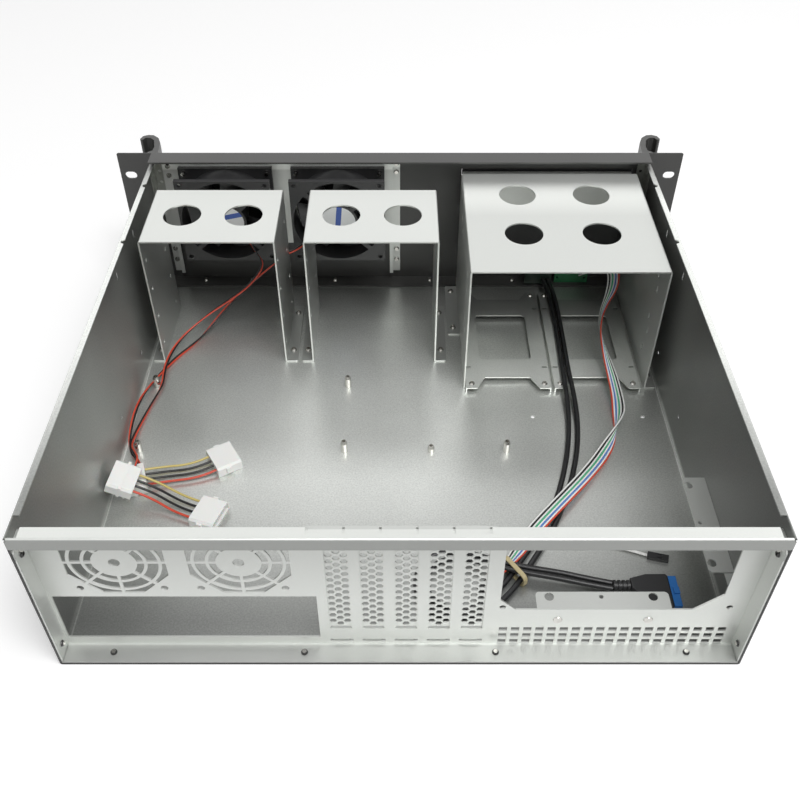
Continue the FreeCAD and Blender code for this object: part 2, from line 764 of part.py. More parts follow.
def handles():
    """Two extruded grips with a curled lip, standing on the front panel."""
    for side, name in ((-1, "handle_left"), (1, "handle_right")):
        grip = Folded(name)
        base = panel_front + seat_gap
        inner = side * handle_inner
        section = grip.sketch("XY_Plane", floor_top + handle_margin)

        def at(out, along):
            return (inner + side * out, base + along)

        outline(section, [
            at(0, 0), at(handle_foot, 0), at(handle_foot, 3.0), at(5.4, 5.6), at(5.0, 12.0),
            at(7.4, handle_reach - 9.5), at(11.4, handle_reach - 5.2), at(15.6, handle_reach - 5.2),
            at(17.4, handle_reach - 9.0), at(20.4, handle_reach - 8.0), at(18.4, handle_reach - 2.0),
            at(14.0, handle_reach), at(9.4, handle_reach - 0.6), at(4.4, handle_reach - 5.4),
            at(1.2, handle_reach - 14.0),
        ])
        grip.pad(section, panel_height - handle_margin * 2)
        grip.soften(lambda p, d, n: abs(d.z) > 0.9 and p.y > float(base) + 4.0, 1.1)


def corner_brackets():
    """Black angles that tie the front panel to the tray's walls."""
    for side, name in ((-1, "corner_bracket_left"), (1, "corner_bracket_right")):
        angle = Folded(name)
        wall = inner_half - seat_gap
        front = panel_back - fan_plate_sheet - seat_gap * 2
        thick = as_size(1.2)
        reach = 14.5
        section = angle.sketch("XY_Plane", 97.0)
        outline(section, [
            (side * wall, front), (side * (wall - 8.0), front), (side * (wall - 8.0), front - thick),
            (side * (wall - thick), front - thick), (side * (wall - thick), front - reach),
            (side * wall, front - reach),
        ])
        angle.pad(section, 29.5)
        drills = angle.sketch("XZ_Plane", front - thick - 0.5)
        for up in (106.0, 116.5):
            ring(drills, side * (wall - 4.8), up, 1.5)
        angle.pocket(drills, thick + 1)
        sides = angle.sketch("YZ_Plane", side * wall if side < 0 else wall - thick)
        for up in (103.0, 119.0):
            ring(sides, front - 9.0, up, 1.5)
        angle.pocket(sides, thick)


# ---------------------------------------------------------------- drive mounts
def drive_brackets():
    """Two 3.5 inch drive brackets: an inverted U with feet turned outward."""
    half = drive_width / 2 + drive_sheet
    for centre, name in ((drive_left, "drive_bracket_left"), (drive_middle, "drive_bracket_middle")):
        frame = Folded(name)
        foot = floor_top + seat_gap
        top = floor_top + drive_top
        section = frame.sketch("XZ_Plane", drive_rear)
        outline(section, [
            (centre - half - drive_foot, foot), (centre - half + drive_sheet, foot),
            (centre - half + drive_sheet, top - drive_sheet),
            (centre + half - drive_sheet, top - drive_sheet),
            (centre + half - drive_sheet, foot), (centre + half + drive_foot, foot),
            (centre + half + drive_foot, foot + drive_sheet), (centre + half, foot + drive_sheet),
            (centre + half, top), (centre - half, top), (centre - half, foot + drive_sheet),
            (centre - half - drive_foot, foot + drive_sheet),
        ])
        frame.pad(section, drive_depth)
        frame.soften(lambda p, d, n: abs(d.y) > 0.9 and near(p.z, top), bend)
        frame.soften(lambda p, d, n: abs(d.z) > 0.9 and p.z < 4 and n < 2, 1.6)
        lids = frame.sketch("XY_Plane", top - drive_sheet - 0.5)
        for step in (-0.5, 0.5):
            ring(lids, centre + drive_hole_spacing * step, drive_rear + drive_depth / 2, drive_hole_radius)
        frame.pocket(lids, drive_sheet + 1)
        feet = frame.sketch("XY_Plane", foot - 0.5)
        for x, y in drive_foot_screws(centre):
            ring(feet, x, y, screw_hole)
        frame.pocket(feet, drive_sheet + 1)
        sides = frame.sketch("YZ_Plane", centre - half - 0.5)
        for up in (17.0, 45.0, 73.0, 101.0):
            ring(sides, drive_rear + 8.0, up, 1.7)
            ring(sides, drive_rear + drive_depth - 12.0, up, 1.7)
        frame.pocket(sides, half * 2 + 1)


def optical_cage():
    """The 5.25 inch cage: a wide inverted U with a stepped front edge."""
    cage = Folded("optical_cage")
    left = cage_left
    right = cage_left + cage_inner + cage_sheet * 2
    foot = floor_top + seat_gap
    top = floor_top + cage_top
    section = cage.sketch("XZ_Plane", cage_rear)
    outline(section, [
        (left, foot), (left + cage_sheet, foot), (left + cage_sheet, top - cage_sheet),
        (right - cage_sheet, top - cage_sheet), (right - cage_sheet, foot), (right + cage_foot, foot),
        (right + cage_foot, foot + cage_sheet), (right, foot + cage_sheet), (right, top), (left, top),
    ])
    cage.pad(section, cage_depth)
    cage.soften(lambda p, d, n: abs(d.y) > 0.9 and near(p.z, top), bend)
    tab = cage.sketch("XY_Plane", foot)
    oblong(tab, left - 10.6, 318.0, left + cage_sheet, 386.4)
    cage.pad(tab, cage_sheet)
    cage.soften(lambda p, d, n: abs(d.z) > 0.9 and p.z < 4 and n < 2
                and (near(p.x, left - 10.6) or near(p.x, right + cage_foot)), 1.6)
    step = cage.sketch("XY_Plane", top - cage_sheet - 3.0)
    oblong(step, left + 1.5, cage_rear + cage_depth - 0.3,
           right - 3.5, cage_rear + cage_depth + cage_step_depth)
    cage.pad(step, cage_sheet)
    # A blanking sheet closes the upper bay and carries the step.
    blank = cage.sketch("XZ_Plane", cage_rear + cage_depth - cage_sheet)
    oblong(blank, left + 0.4, bay_bottom + bay_pitch, right - 3.5, top - 0.2)
    cage.pad(blank, cage_sheet)
    feet = cage.sketch("XY_Plane", foot - 0.5)
    for x, y in cage_foot_screws():
        ring(feet, x, y, screw_hole)
    cage.pocket(feet, cage_sheet + 1)
    # The front of the cage stands over the front panel's lower flange.
    relief = cage.sketch("XZ_Plane", panel_back - panel_bottom_flange - 0.3)
    oblong(relief, left - 12.0, 0, right + cage_foot + 1, foot + panel_thickness + 0.3)
    cage.pocket(relief, panel_bottom_flange)
    lids = cage.sketch("XY_Plane", top - cage_sheet - 0.5)
    for across in (44.3, 105.0):
        for along in (50.3, 106.4):
            ring(lids, left + across, cage_rear + along, cage_hole_radius)
    cage.pocket(lids, cage_sheet + 1)
    walls = cage.sketch("YZ_Plane", left - 0.5)
    for along, up in ((26.0, 99.0), (22.0, 87.0), (27.0, 56.0), (23.0, 44.0), (27.0, 24.0), (105.0, 99.0),
                      (101.0, 87.0), (106.0, 56.0), (102.0, 44.0)):
        oblong(walls, cage_rear + along - 1.3, up - 3.2, cage_rear + along + 1.3, up + 3.2)
    cage.pocket(walls, right - left + 1)


def ssd_trays():
    """Two 2.5 inch trays on turned-down sides, notched front and rear, with a window."""
    for number, name in ((0, "ssd_tray_left"), (1, "ssd_tray_right")):
        tray = Folded(name)
        left = ssd_left + ssd_pitch * number
        right = left + ssd_width
        top = floor_top + ssd_lift
        foot = floor_top + seat_gap
        section = tray.sketch("XZ_Plane", ssd_rear)
        outline(section, [
            (left, foot), (left + ssd_sheet, foot), (left + ssd_sheet, top - ssd_sheet),
            (right - ssd_sheet, top - ssd_sheet), (right - ssd_sheet, foot), (right, foot),
            (right, top), (left, top),
        ])
        tray.pad(section, ssd_length)
        middle = (left + right) / 2
        front = ssd_rear + ssd_length
        notch = tray.sketch("XY_Plane", foot - 0.5)
        outline(notch, [(middle - 26.4, ssd_rear - 1), (middle + 26.4, ssd_rear - 1),
                        (middle + 25.8, ssd_rear), (middle + 18.6, ssd_rear + 13.0),
                        (middle - 18.6, ssd_rear + 13.0), (middle - 25.8, ssd_rear)])
        outline(notch, [(middle - 26.4, front + 1), (middle - 25.8, front), (middle - 19.0, front - 10.6),
                        (middle + 19.0, front - 10.6), (middle + 25.8, front), (middle + 26.4, front + 1)])
        tray.pocket(notch, ssd_lift + 2)
        window = tray.sketch("XY_Plane", top - ssd_sheet - 0.5)
        oblong(window, middle - 22.0, ssd_rear + 35.2, middle + 22.0, ssd_rear + 94.0)
        tray.pocket(window, ssd_sheet + 1)
        tray.soften(lambda p, d, n: abs(d.z) > 0.9 and n < 2 and near(abs(p.x - middle.value), 22.0), 4.0)
        slots = tray.sketch("XY_Plane", top - ssd_sheet - 0.5)
        for x, y in ssd_screws(middle):
            ring(slots, x, y, screw_hole)
        for along in (25.5, 103.3):
            for side in (-1, 1):
                oblong(slots, middle + side * 31.8 - 2.0, ssd_rear + along - 0.8,
                       middle + side * 31.8 + 2.0, ssd_rear + along + 0.8)
        tray.pocket(slots, ssd_sheet + 1)


# ---------------------------------------------------------------- fans
def fan_plate():
    """The sheet that carries both fans, joggled off two mounting strips."""
    plate = Folded("fan_plate")
    front = panel_back - seat_gap
    lift = fan_plate_joggle
    left = fan_plate_left
    right = fan_plate_right
    section = plate.sketch("XY_Plane", fan_plate_bottom)
    outline(section, [
        (left, front), (left, front - fan_plate_sheet), (left + fan_plate_strip, front - fan_plate_sheet),
        (left + fan_plate_strip, front - lift - fan_plate_sheet),
        (right - fan_plate_strip, front - lift - fan_plate_sheet),
        (right - fan_plate_strip, front - fan_plate_sheet), (right, front - fan_plate_sheet), (right, front),
        (right - fan_plate_strip - fan_plate_sheet, front),
        (right - fan_plate_strip - fan_plate_sheet, front - lift),
        (left + fan_plate_strip + fan_plate_sheet, front - lift),
        (left + fan_plate_strip + fan_plate_sheet, front),
    ])
    plate.pad(section, fan_plate_top - fan_plate_bottom)
    gap = plate.sketch("XZ_Plane", front - lift - fan_plate_sheet - 0.5)
    oblong(gap, left + fan_plate_strip + 3.0, fan_plate_bottom - 1,
           right - fan_plate_strip - 3.0, fan_bottom + 1.5)
    for centre in (fan_left, fan_right):
        ring(gap, centre, fan_bottom + fan_side / 2, fan_duct - 0.6)
    plate.pocket(gap, fan_plate_joggle + 2)
    drills = plate.sketch("XZ_Plane", front - lift - fan_plate_sheet - 0.5)
    for centre in (fan_left, fan_right):
        for dx in (-0.5, 0.5):
            for dz in (-0.5, 0.5):
                ring(drills, centre + fan_hole_spacing * dx,
                     fan_bottom + fan_side / 2 + fan_hole_spacing * dz, 1.8)
    plate.pocket(drills, fan_plate_sheet + 1)


def intake_filter():
    """A thin foam sheet behind the intake slots, held between the front panel and the fan plate."""
    front = panel_back - seat_gap
    sheet = block("intake_foam", (fan_left - fan_side / 2 - 2.0, front - 2.4, intake_bottom - 3.0),
                  (fan_right + fan_side / 2 + 2.0, front, fan_plate_top - 1.5))
    keep("intake_filter", sheet)


def fan_frame(name, centre):
    """A square frame with a round duct, corner flanges and a stator held by four arms."""
    half = fan_side / 2
    level = fan_bottom + half
    rear = fan_back
    front = fan_back + fan_depth
    flanges = []
    for tag, start in (("rear", rear), ("front", front - fan_flange)):
        flanges.append(block(f"{name}_{tag}_flange", (centre - half, start, level - half),
                             (centre + half, start + fan_flange, level + half)))
    duct = rod(f"{name}_duct", (centre, rear, level), fan_duct + 1.4, fan_depth, "+Y")
    solid = joined(f"{name}_outside", flanges + [duct])
    tools = [rod(f"{name}_bore", (centre, rear - 1, level), fan_duct, fan_depth + 2, "+Y")]
    for dx in (-0.5, 0.5):
        for dz in (-0.5, 0.5):
            tools.append(rod(f"{name}_hole", (centre + fan_hole_spacing * dx, rear - 1,
                                              level + fan_hole_spacing * dz), 2.1, fan_depth + 2, "+Y"))
    shell = bored(f"{name}_shell", solid, tools)
    arms = []
    for number in range(4):
        arm = doc.addObject("Part::Box", f"{name}_arm_{number + 1}")
        bind(arm, "Length", fan_duct + 0.8)
        arm.Width = 2.6
        arm.Height = 4.2
        turn = FreeCAD.Rotation(FreeCAD.Vector(0, -1, 0), 45 + 90 * number)
        arm.Placement = FreeCAD.Placement(turn.multVec(FreeCAD.Vector(0, 0, -2.1)), turn)
        shift = turn.multVec(FreeCAD.Vector(0, 0, -2.1))
        move_to(arm, centre + shift.x, rear, level + shift.z)
        arms.append(arm)
    stator = rod(f"{name}_stator", (centre, rear, level), fan_hub + 0.4, 2.8, "+Y")
    spider = joined(f"{name}_spider", arms + [stator])
    bearing = rod(f"{name}_bearing", (centre, rear + 1.0, level), 1.55, 4.0, "+Y")
    body = bored(f"{name}_hub", spider, [bearing])
    keep(f"{name}_frame", joined(f"{name}_frame", [shell, body]))


def fan_rotor(name, centre):
    """Hub cup, shaft and seven swept blades, lofted from root to tip."""
    level = float(fan_bottom + fan_side / 2)
    middle = float(fan_back + fan_depth / 2 + 1.2)
    root = float(fan_hub) - 0.8
    tip = float(fan_duct) - float(fan_tip_gap)
    stations = (root, root + (tip - root) * 0.55, tip)
    solid = Part.makeCylinder(float(fan_hub), 19.0, FreeCAD.Vector(0, float(fan_back) + 3.2 - middle, 0),
                              FreeCAD.Vector(0, 1, 0))
    shaft = Part.makeCylinder(1.5, 2.2, FreeCAD.Vector(0, float(fan_back) + 1.3 - middle, 0),
                              FreeCAD.Vector(0, 1, 0))
    solid = solid.fuse(shaft)
    profiles = []
    for radius in stations:
        share = (radius - root) / (tip - root)
        pitch = math.radians(42 - 16 * share)
        half_chord = 7.4 + 3.4 * share
        sweep = 7.0 * share
        level_out = math.sqrt(radius ** 2 - (half_chord * math.cos(pitch) + sweep) ** 2)
        corners = []
        for along, thick in ((-1, -0.5), (0, -1.3), (1, -0.5), (1, 0.5), (0, -0.1), (-1, 0.5)):
            run = along * half_chord * math.cos(pitch)
            depth = along * half_chord * math.sin(pitch) + thick
            corners.append(FreeCAD.Vector(run + sweep, depth, level_out))
        profiles.append(Part.makePolygon(corners + corners[:1]))
    blade = Part.makeLoft(profiles, True, True)
    blades = []
    for number in range(fan_blades):
        blades.append(blade.rotated(FreeCAD.Vector(), FreeCAD.Vector(0, 1, 0), 360.0 / fan_blades * number))
    solid = solid.fuse(blades)
    made = doc.addObject("Part::Feature", name)
    made.Shape = solid
    move_to(made, centre, middle, level)
    keep(name, made)


# ---------------------------------------------------------------- front controls
def bay_covers():
    """Blanking plates with turned-back sides, clipped into the two drive bays."""
    for number, name in ((0, "bay_cover_lower"), (1, "bay_cover_upper")):
        cover = Folded(name)
        clear = as_size(0.3)
        left = bay_left + clear
        right = bay_left + bay_width - clear
        low = bay_bottom + bay_pitch * number + clear
        high = bay_bottom + bay_pitch * number + bay_height - clear
        face = cover.sketch("XZ_Plane", panel_front - 1.6)
        oblong(face, left, low, right, high)
        cover.pad(face, 2.4)
        cover.soften(lambda p, d, n: near(p.y, panel_front + 0.8), 0.6)
        wings = cover.sketch("XZ_Plane", panel_front - 9.0)
        for start in (left, right - 1.2):
            oblong(wings, start, low + 5, start + 1.2, high - 5)
        cover.pad(wings, 7.6)


def usb_ports():
    """Two upright USB sockets: metal shells, each round a contact tongue."""
    shells = []
    for number in range(2):
        left = port_left + port_pitch * number
        back = panel_front - 14.0
        outside = block(f"port_{number}_outside", (left, back, port_bottom),
                        (left + port_width, panel_front + 0.2, port_bottom + port_height))
        mouth = block(f"port_{number}_mouth", (left + 0.4, back + 0.8, port_bottom + 0.4),
                      (left + port_width - 0.4, panel_front + 1, port_bottom + port_height - 0.4))
        shell = bored(f"port_{number}_shell", outside, [mouth])
        tongue = block(f"port_{number}_tongue", (left + 1.1, back + 0.4, port_bottom + 1.6),
                       (left + 2.8, panel_front - 2.0, port_bottom + port_height - 1.6))
        shells.append(joined(f"port_{number}", [shell, tongue]))
    keep("usb_ports", grouped("usb_ports", shells))


def boards():
    """The USB board behind its sockets and the control board behind the buttons."""
    back = panel_front - 14.0
    port_top = port_bottom + port_height
    plate = block("usb_board_plate", (port_left - 3.0, back - seat_gap - 1.6, port_bottom - 4.0),
                  (port_left + port_pitch + port_width + 6.0, back - seat_gap, port_top + 4.0))
    hole = rod("usb_board_hole", (port_left + 8.0, back - 3.0, port_top + 1.8), 1.2, 5.0, "+Y")
    keep("usb_board", bored("usb_board", plate, [hole]))
    low = floor_top + panel_thickness + seat_gap * 2
    plate = block("control_plate", (143.8, switch_face, low), (174.4, switch_face + 1.6, light_height + 4.4))
    holes = [rod(f"control_hole_{x}", (x, switch_face - 1, 8.0), 1.2, 4.0, "+Y") for x in (146.6, 171.8)]
    keep("control_board", bored("control_board", plate, holes))
    switches = []
    for across in (power_across, reset_across):
        body = block("switch_body", (across - 3.0, switch_face + 1.6, button_height - 3.0),
                     (across + 3.0, switch_face + 5.0, button_height + 3.0))
        stem = rod("switch_stem", (across, switch_face + 5.0, button_height), 1.6, 0.4, "+Y")
        switches.append(joined("switch", [body, stem]))
    keep("board_switches", grouped("board_switches", switches))


def buttons():
    """Power and reset caps on stems, each with a collar behind the panel."""
    for across, radius, name in ((power_across, power_radius, "power_button"),
                                 (reset_across, reset_radius, "reset_button")):
        start = switch_face + 5.4 + button_travel + 0.2
        cap = rod(f"{name}_cap", (across, start, button_height), radius, panel_front + 2.2 - start, "+Y")
        collar = rod(f"{name}_collar", (across, start, button_height), radius + 1.0,
                     panel_back - button_clear - start, "+Y")
        whole = joined(f"{name}_whole", [cap, collar])
        dish = rod(f"{name}_dish", (across, panel_front + 1.8, button_height), radius - 0.8, 1.0, "+Y")
        keep(name, bored(name, whole, [dish]))
    pipes = []
    for number in range(2):
        across = light_across + light_pitch * number
        pipes.append(rod("light_pipe", (across, switch_face + 1.6 + seat_gap, light_height), light_radius,
                         panel_front + 0.5 - switch_face - 1.6 - seat_gap, "+Y"))
    keep("light_pipes", grouped("light_pipes", pipes))


# ---------------------------------------------------------------- stand-offs and screws
def standoffs():
    """Round board supports with coned tops and a thread hole; one is a shorter rest."""
    made = []
    places = [(0, 0), (0, 1), (1, 0), (1, 1), (2, 0)]
    columns = (as_size(0), board_hole_middle, board_hole_last)
    spots = [(board_hole_first + columns[a], board_row_first + board_row_pitch * b, standoff_height)
             for a, b in places]
    spots.append((board_hole_first + 224.1, board_row_first, standoff_height * 0.55))
    for x, y, tall in spots:
        foot = floor_top + seat_gap
        post = rod("post", (x, y, foot), standoff_radius, tall - 2.0 - seat_gap)
        top = cone("post_top", (x, y, floor_top + tall - 2.0), standoff_radius, standoff_radius * 0.72, 2.0)
        drill = rod("post_drill", (x, y, floor_top + tall - 3.5), 1.25, 5.0)
        made.append(bored("standoff", joined("standoff_body", [post, top]), [drill]))
    keep("standoffs", grouped("standoffs", made))


def cross_recess(top, way, reach, deep, spin):
    """The two crossing bars that a driver fits, sunk from a screw head's top."""
    bars = []
    for extra in (0, 90):
        turn = TURNS[way].multiply(FreeCAD.Rotation(FreeCAD.Vector(0, 0, 1), spin + extra))
        corner = turn.multVec(FreeCAD.Vector(-reach, -0.3, -deep))
        bar = doc.addObject("Part::Box", "cross_bar")
        bar.Placement = FreeCAD.Placement(FreeCAD.Vector(), turn)
        bind(bar, "Length", reach * 2)
        bind(bar, "Width", 0.6)
        bind(bar, "Height", deep + 0.5)
        move_to(bar, top[0] + corner.x, top[1] + corner.y, top[2] + corner.z)
        bars.append(bar)
    return bars


def pan_screw(place, way, head=2.7, tall=1.7, shank=1.0, spin=25):
    """A small cross-recessed screw: a coned head on its seat, and the start of its shank."""
    pointing = TURNS[way].multVec(FreeCAD.Vector(0, 0, 1))
    top_point = [amount + step * tall for amount, step in zip(place, pointing)]
    root = [amount - step * as_size(shank) for amount, step in zip(place, pointing)]
    top = cone("screw_head", place, head, head * 0.66, tall, way)
    base = rod("screw_shank", root, 1.4, shank + 0.2, way)
    bars = cross_recess(top_point, way, head * 0.5, 0.8, spin)
    return bored("screw", joined("screw_body", [top, base]), bars)


def drive_foot_screws(centre):
    half = drive_width / 2 + drive_sheet + drive_foot / 2
    return [(centre + side * half, drive_rear + along) for side in (-1, 1) for along in (13.7, 64.3)]


def cage_foot_screws():
    right = cage_left + cage_inner + cage_sheet * 2 + cage_foot / 2
    return [(cage_left - 5.6, as_size(326.7)), (cage_left - 5.6, as_size(378.7)),
            (right, cage_rear + 14.0), (right, cage_rear + 122.0)]


def ssd_screws(middle):
    rows = (5.6, ssd_length - 4.4)
    return [(middle + side * 29.9, ssd_rear + along) for side in (-1, 1) for along in rows]


def screws():
    foot = floor_top + seat_gap + drive_sheet + seat_gap
    keep("drive_bracket_screws", grouped("drive_bracket_screws",
         [pan_screw((x, y, foot), "+Z", spin=37 * turn) for turn, (x, y) in
          enumerate(drive_foot_screws(drive_left) + drive_foot_screws(drive_middle))]))
    keep("cage_screws", grouped("cage_screws",
         [pan_screw((x, y, foot), "+Z", spin=29 * turn) for turn, (x, y) in enumerate(cage_foot_screws())]))
    top = floor_top + ssd_lift + seat_gap
    keep("tray_screws", grouped("tray_screws",
         [pan_screw((x, y, top), "+Z", 2.4, 1.2, 0.8) for number in range(2)
          for x, y in ssd_screws(ssd_left + ssd_pitch * number + ssd_width / 2)]))
    rear = []
    reach = steel * 2 + seat_gap + 1.6
    for across in REAR_FLOOR_SCREWS:
        rear.append(rod("floor_screw", (across, REAR_SCREW_SETBACK, 0.1), 1.4, reach))
    for side in (-1, 1):
        for level in REAR_SIDE_SCREWS:
            start = side * (body_width / 2 - 0.1)
            rear.append(rod("side_screw", (start, REAR_SCREW_SETBACK, level), 1.4, reach,
                            "+X" if side < 0 else "-X"))
    keep("rear_panel_screws", grouped("rear_panel_screws", rear))
    back = web_back - seat_gap
    shelf = [cone("shelf_screw", (psu_centre + across, back, psu_seat - 9.4), 2.9, 2.6, 0.5, "-Y")
             for across in (-34.0, 21.8)]
    keep("psu_shelf_screws", grouped("psu_shelf_screws", shelf))
    plate_face = panel_back - seat_gap - fan_plate_joggle - fan_plate_sheet
    mounts = []
    for centre in (fan_left, fan_right):
        for dx in (-0.5, 0.5):
            for dz in (-0.5, 0.5):
                mounts.append(rod("fan_screw", (centre + fan_hole_spacing * dx,
                                                plate_face - seat_gap - fan_flange - 2.6,
                                                fan_bottom + fan_side / 2 + fan_hole_spacing * dz),
                                  1.7, fan_flange + 2.6 + seat_gap + fan_plate_sheet, "+Y"))
    keep("fan_screws", grouped("fan_screws", mounts))
    heads = []
    for x, z in ((-198.5, 114.2), (-198.5, 123.0)):
        heads.append(cone("plate_screw", (x, plate_face - seat_gap, z), 2.4, 1.7, 1.4, "-Y"))
    strip_face = panel_back - seat_gap - fan_plate_sheet - seat_gap
    for x, z in ((-206.4, 23.5), (-206.4, 35.3), (-3.2, 23.5), (-3.2, 35.3), (-3.2, 115.2), (-3.2, 123.0)):
        heads.append(cone("plate_screw", (x, strip_face, z), 2.4, 1.7, 1.4, "-Y"))
    keep("fan_plate_screws", grouped("fan_plate_screws", heads))
    flange = floor_top + seat_gap + panel_thickness + seat_gap
    tips = [cone("flange_screw", (x, panel_back - 6.0, flange), 2.2, 1.5, 1.6)
            for x in (-182.0, -138.5, -60.8, 28.0, 105.0)]
    keep("front_flange_screws", grouped("front_flange_screws", tips))


# ---------------------------------------------------------------- connectors
def power_connector(name, centre, yaw, tilt, ribbed):
    """A four-pin power housing: a stepped shell with four wire holes behind and a pin bay in front."""
    length = 19.0
    width = 24.6
    thick = 8.6
    body = Part.makeBox(length, width, thick, FreeCAD.Vector(-length / 2, -width / 2, -thick / 2))
    edges = [e for e in body.Edges
             if abs(e.Vertexes[0].X - e.Vertexes[1].X) > 1 and e.CenterOfMass.z > 0]
    body = body.makeChamfer(1.6, edges)
    if ribbed:
        collar = Part.makeBox(2.0, width + 1.2, thick + 1.0,
                              FreeCAD.Vector(-1.2, -width / 2 - 0.6, -thick / 2 - 0.5))
        body = body.fuse(collar).removeSplitter()
    else:
        for side in (-1, 1):
            tab = Part.makeBox(4.0, 1.4, thick * 0.6,
                               FreeCAD.Vector(-3.0, side * (width / 2 + 0.6) - 0.7, -thick * 0.3))
            body = body.fuse(tab)
    bay = Part.makeBox(8.0, width - 3.0, thick - 3.0,
                       FreeCAD.Vector(length / 2 - 8.0 + 0.5, -(width - 3.0) / 2, -(thick - 3.0) / 2))
    body = body.cut(bay)
    for number in range(4):
        hole = Part.makeCylinder(1.5, 3.0, FreeCAD.Vector(-length / 2 - 0.1, 5.08 * (number - 1.5), 0),
                                 FreeCAD.Vector(1, 0, 0))
        body = body.cut(hole)
    made = doc.addObject("Part::Feature", name)
    made.Shape = body
    lean = FreeCAD.Rotation(FreeCAD.Vector(0, 1, 0), tilt)
    turn = FreeCAD.Rotation(FreeCAD.Vector(0, 0, 1), yaw).multiply(lean)
    made.Placement = FreeCAD.Placement(FreeCAD.Vector(*centre), turn)
    keep(name, made)
    return made.Placement


def usb_plug():
    """The header plug: a fan-shaped overmould with a ribbed strain relief, and a blue insert."""
    plug = Folded("usb_plug_body")
    low = 1.3
    outline_sketch = plug.sketch("XY_Plane", low)
    outline(outline_sketch, [(153.2, 50.2), (153.2, 58.2), (164.0, 61.4), (177.4, 61.4),
                             (178.6, 59.6), (178.6, 36.4), (177.4, 35.4), (166.0, 37.6)])
    plug.pad(outline_sketch, 8.4)
    plug.soften(lambda p, d, n: near(p.z, 9.7), 1.2)
    for number in range(4):
        rib = plug.sketch("YZ_Plane", 141.9 + 3.0 * number)
        ring(rib, 54.3, 5.5, 3.9)
        plug.pad(rib, 1.7)
    core = plug.sketch("YZ_Plane", 141.6)
    ring(core, 54.3, 5.5, 3.1)
    plug.pad(core, 12.4)
    insert = Folded("usb_plug_insert")
    face = insert.sketch("YZ_Plane", 178.7)
    oblong(face, 36.8, 2.2, 60.0, 8.6)
    insert.pad(face, 5.4)
    insert.soften(lambda p, d, n: near(p.x, 178.7 + 5.4), 0.5)
    key = insert.sketch("YZ_Plane", 180.2)
    oblong(key, 46.0, 8.4, 51.0, 9.6)
    insert.pad(key, 3.9)


def small_connectors():
    """The two-pin indicator plug and the ten-pin header plug at the ribbon's end."""
    shell = doc.addObject("Part::Feature", "indicator_plug")
    body = Part.makeBox(14.2, 5.2, 2.6, FreeCAD.Vector(0, -2.6, -1.3))
    for side in (-1, 1):
        body = body.cut(Part.makeBox(3.4, 1.4, 1.0, FreeCAD.Vector(6.4, side * 1.27 - 0.7, 0.8)))
    shell.Shape = body
    shell.Placement = FreeCAD.Placement(FreeCAD.Vector(170.6, 81.4, 2.5),
                                        FreeCAD.Rotation(FreeCAD.Vector(0, 0, 1), -14))
    keep("indicator_plug", shell)
    plug = doc.addObject("Part::Feature", "header_plug")
    body = Part.makeBox(13.0, 5.4, 8.4, FreeCAD.Vector(-13.0, -2.7, -4.2))
    body = body.makeChamfer(0.5, body.Edges)
    plug.Shape = body
    plug.Placement = FreeCAD.Placement(FreeCAD.Vector(61.9, 58.5, 5.4),
                                       FreeCAD.Rotation(FreeCAD.Vector(0, 0, 1), 44))
    keep("header_plug", plug)


def rubber_band():
    """A flat elastic loop drawn round the cable bundle, lying on the floor."""
    width = 3.2
    half = 11.5
    tall = 10.6
    sheet = 0.9

    def loop(inset, length):
        solid = Part.makeBox(length, (half - inset) * 2, tall - inset * 2,
                             FreeCAD.Vector(-length / 2, inset - half, inset))
        edges = [e for e in solid.Edges if abs(e.Vertexes[0].X - e.Vertexes[1].X) > 1]
        return solid.makeFillet(3.6 - inset, edges)

    made = doc.addObject("Part::Feature", "rubber_band")
    made.Shape = loop(0, width).cut(loop(sheet, width + 1))
    # The loop's axis lies along the bundle.
    along = FreeCAD.Rotation(FreeCAD.Vector(0, 0, 1), math.degrees(math.atan2(0.57, 0.82)))
    made.Placement = FreeCAD.Placement(FreeCAD.Vector(77.2, 65.5, floor_top.value + 0.1), along)
    keep("rubber_band", made)


# ---------------------------------------------------------------- cords
def tube(points, radius):
    """A round tube along straight runs, each corner rounded by an arc that touches both runs."""
    corners = [FreeCAD.Vector(*point) for point in points]
    edges = []
    last = corners[0]
    tightest = math.inf
    for before, corner, after in zip(corners, corners[1:], corners[2:]):
        inward = (corner - before).normalize()
        outward = (after - corner).normalize()
        shorter = min((corner - before).Length, (after - corner).Length)
        setback = 0.45 * shorter
        arc_radius = setback / math.tan(inward.getAngle(outward) / 2)
        tightest = min(tightest, arc_radius)
        start = corner - inward * setback
        end = corner + outward * setback
        towards = (outward - inward).normalize()
        middle = corner + towards * (math.hypot(setback, arc_radius) - arc_radius)
        edges.append(Part.LineSegment(last, start).toShape())
        edges.append(Part.Arc(start, middle, end).toShape())
        last = end
    edges.append(Part.LineSegment(last, corners[-1]).toShape())
    wire = Part.Wire(edges)
    heading = (corners[1] - corners[0]).normalize()
    section = Part.Wire([Part.makeCircle(radius, corners[0], heading)])
    solid = wire.makePipeShell([section], True, True)
    share = solid.Volume / (math.pi * radius * radius * wire.Length)
    print(f"  length {wire.Length:.1f}  tightest radius {tightest:.1f}  volume share {share:.3f}")
    return solid


def cord(name, routes, radius):
    """One cord node: a tube for each of its routes."""
    print(name)
    made = doc.addObject("Part::Feature", name)
    tubes = [tube(route, radius) for route in routes]
    made.Shape = tubes[0] if len(tubes) == 1 else Part.makeCompound(tubes)
    keep(name, made)


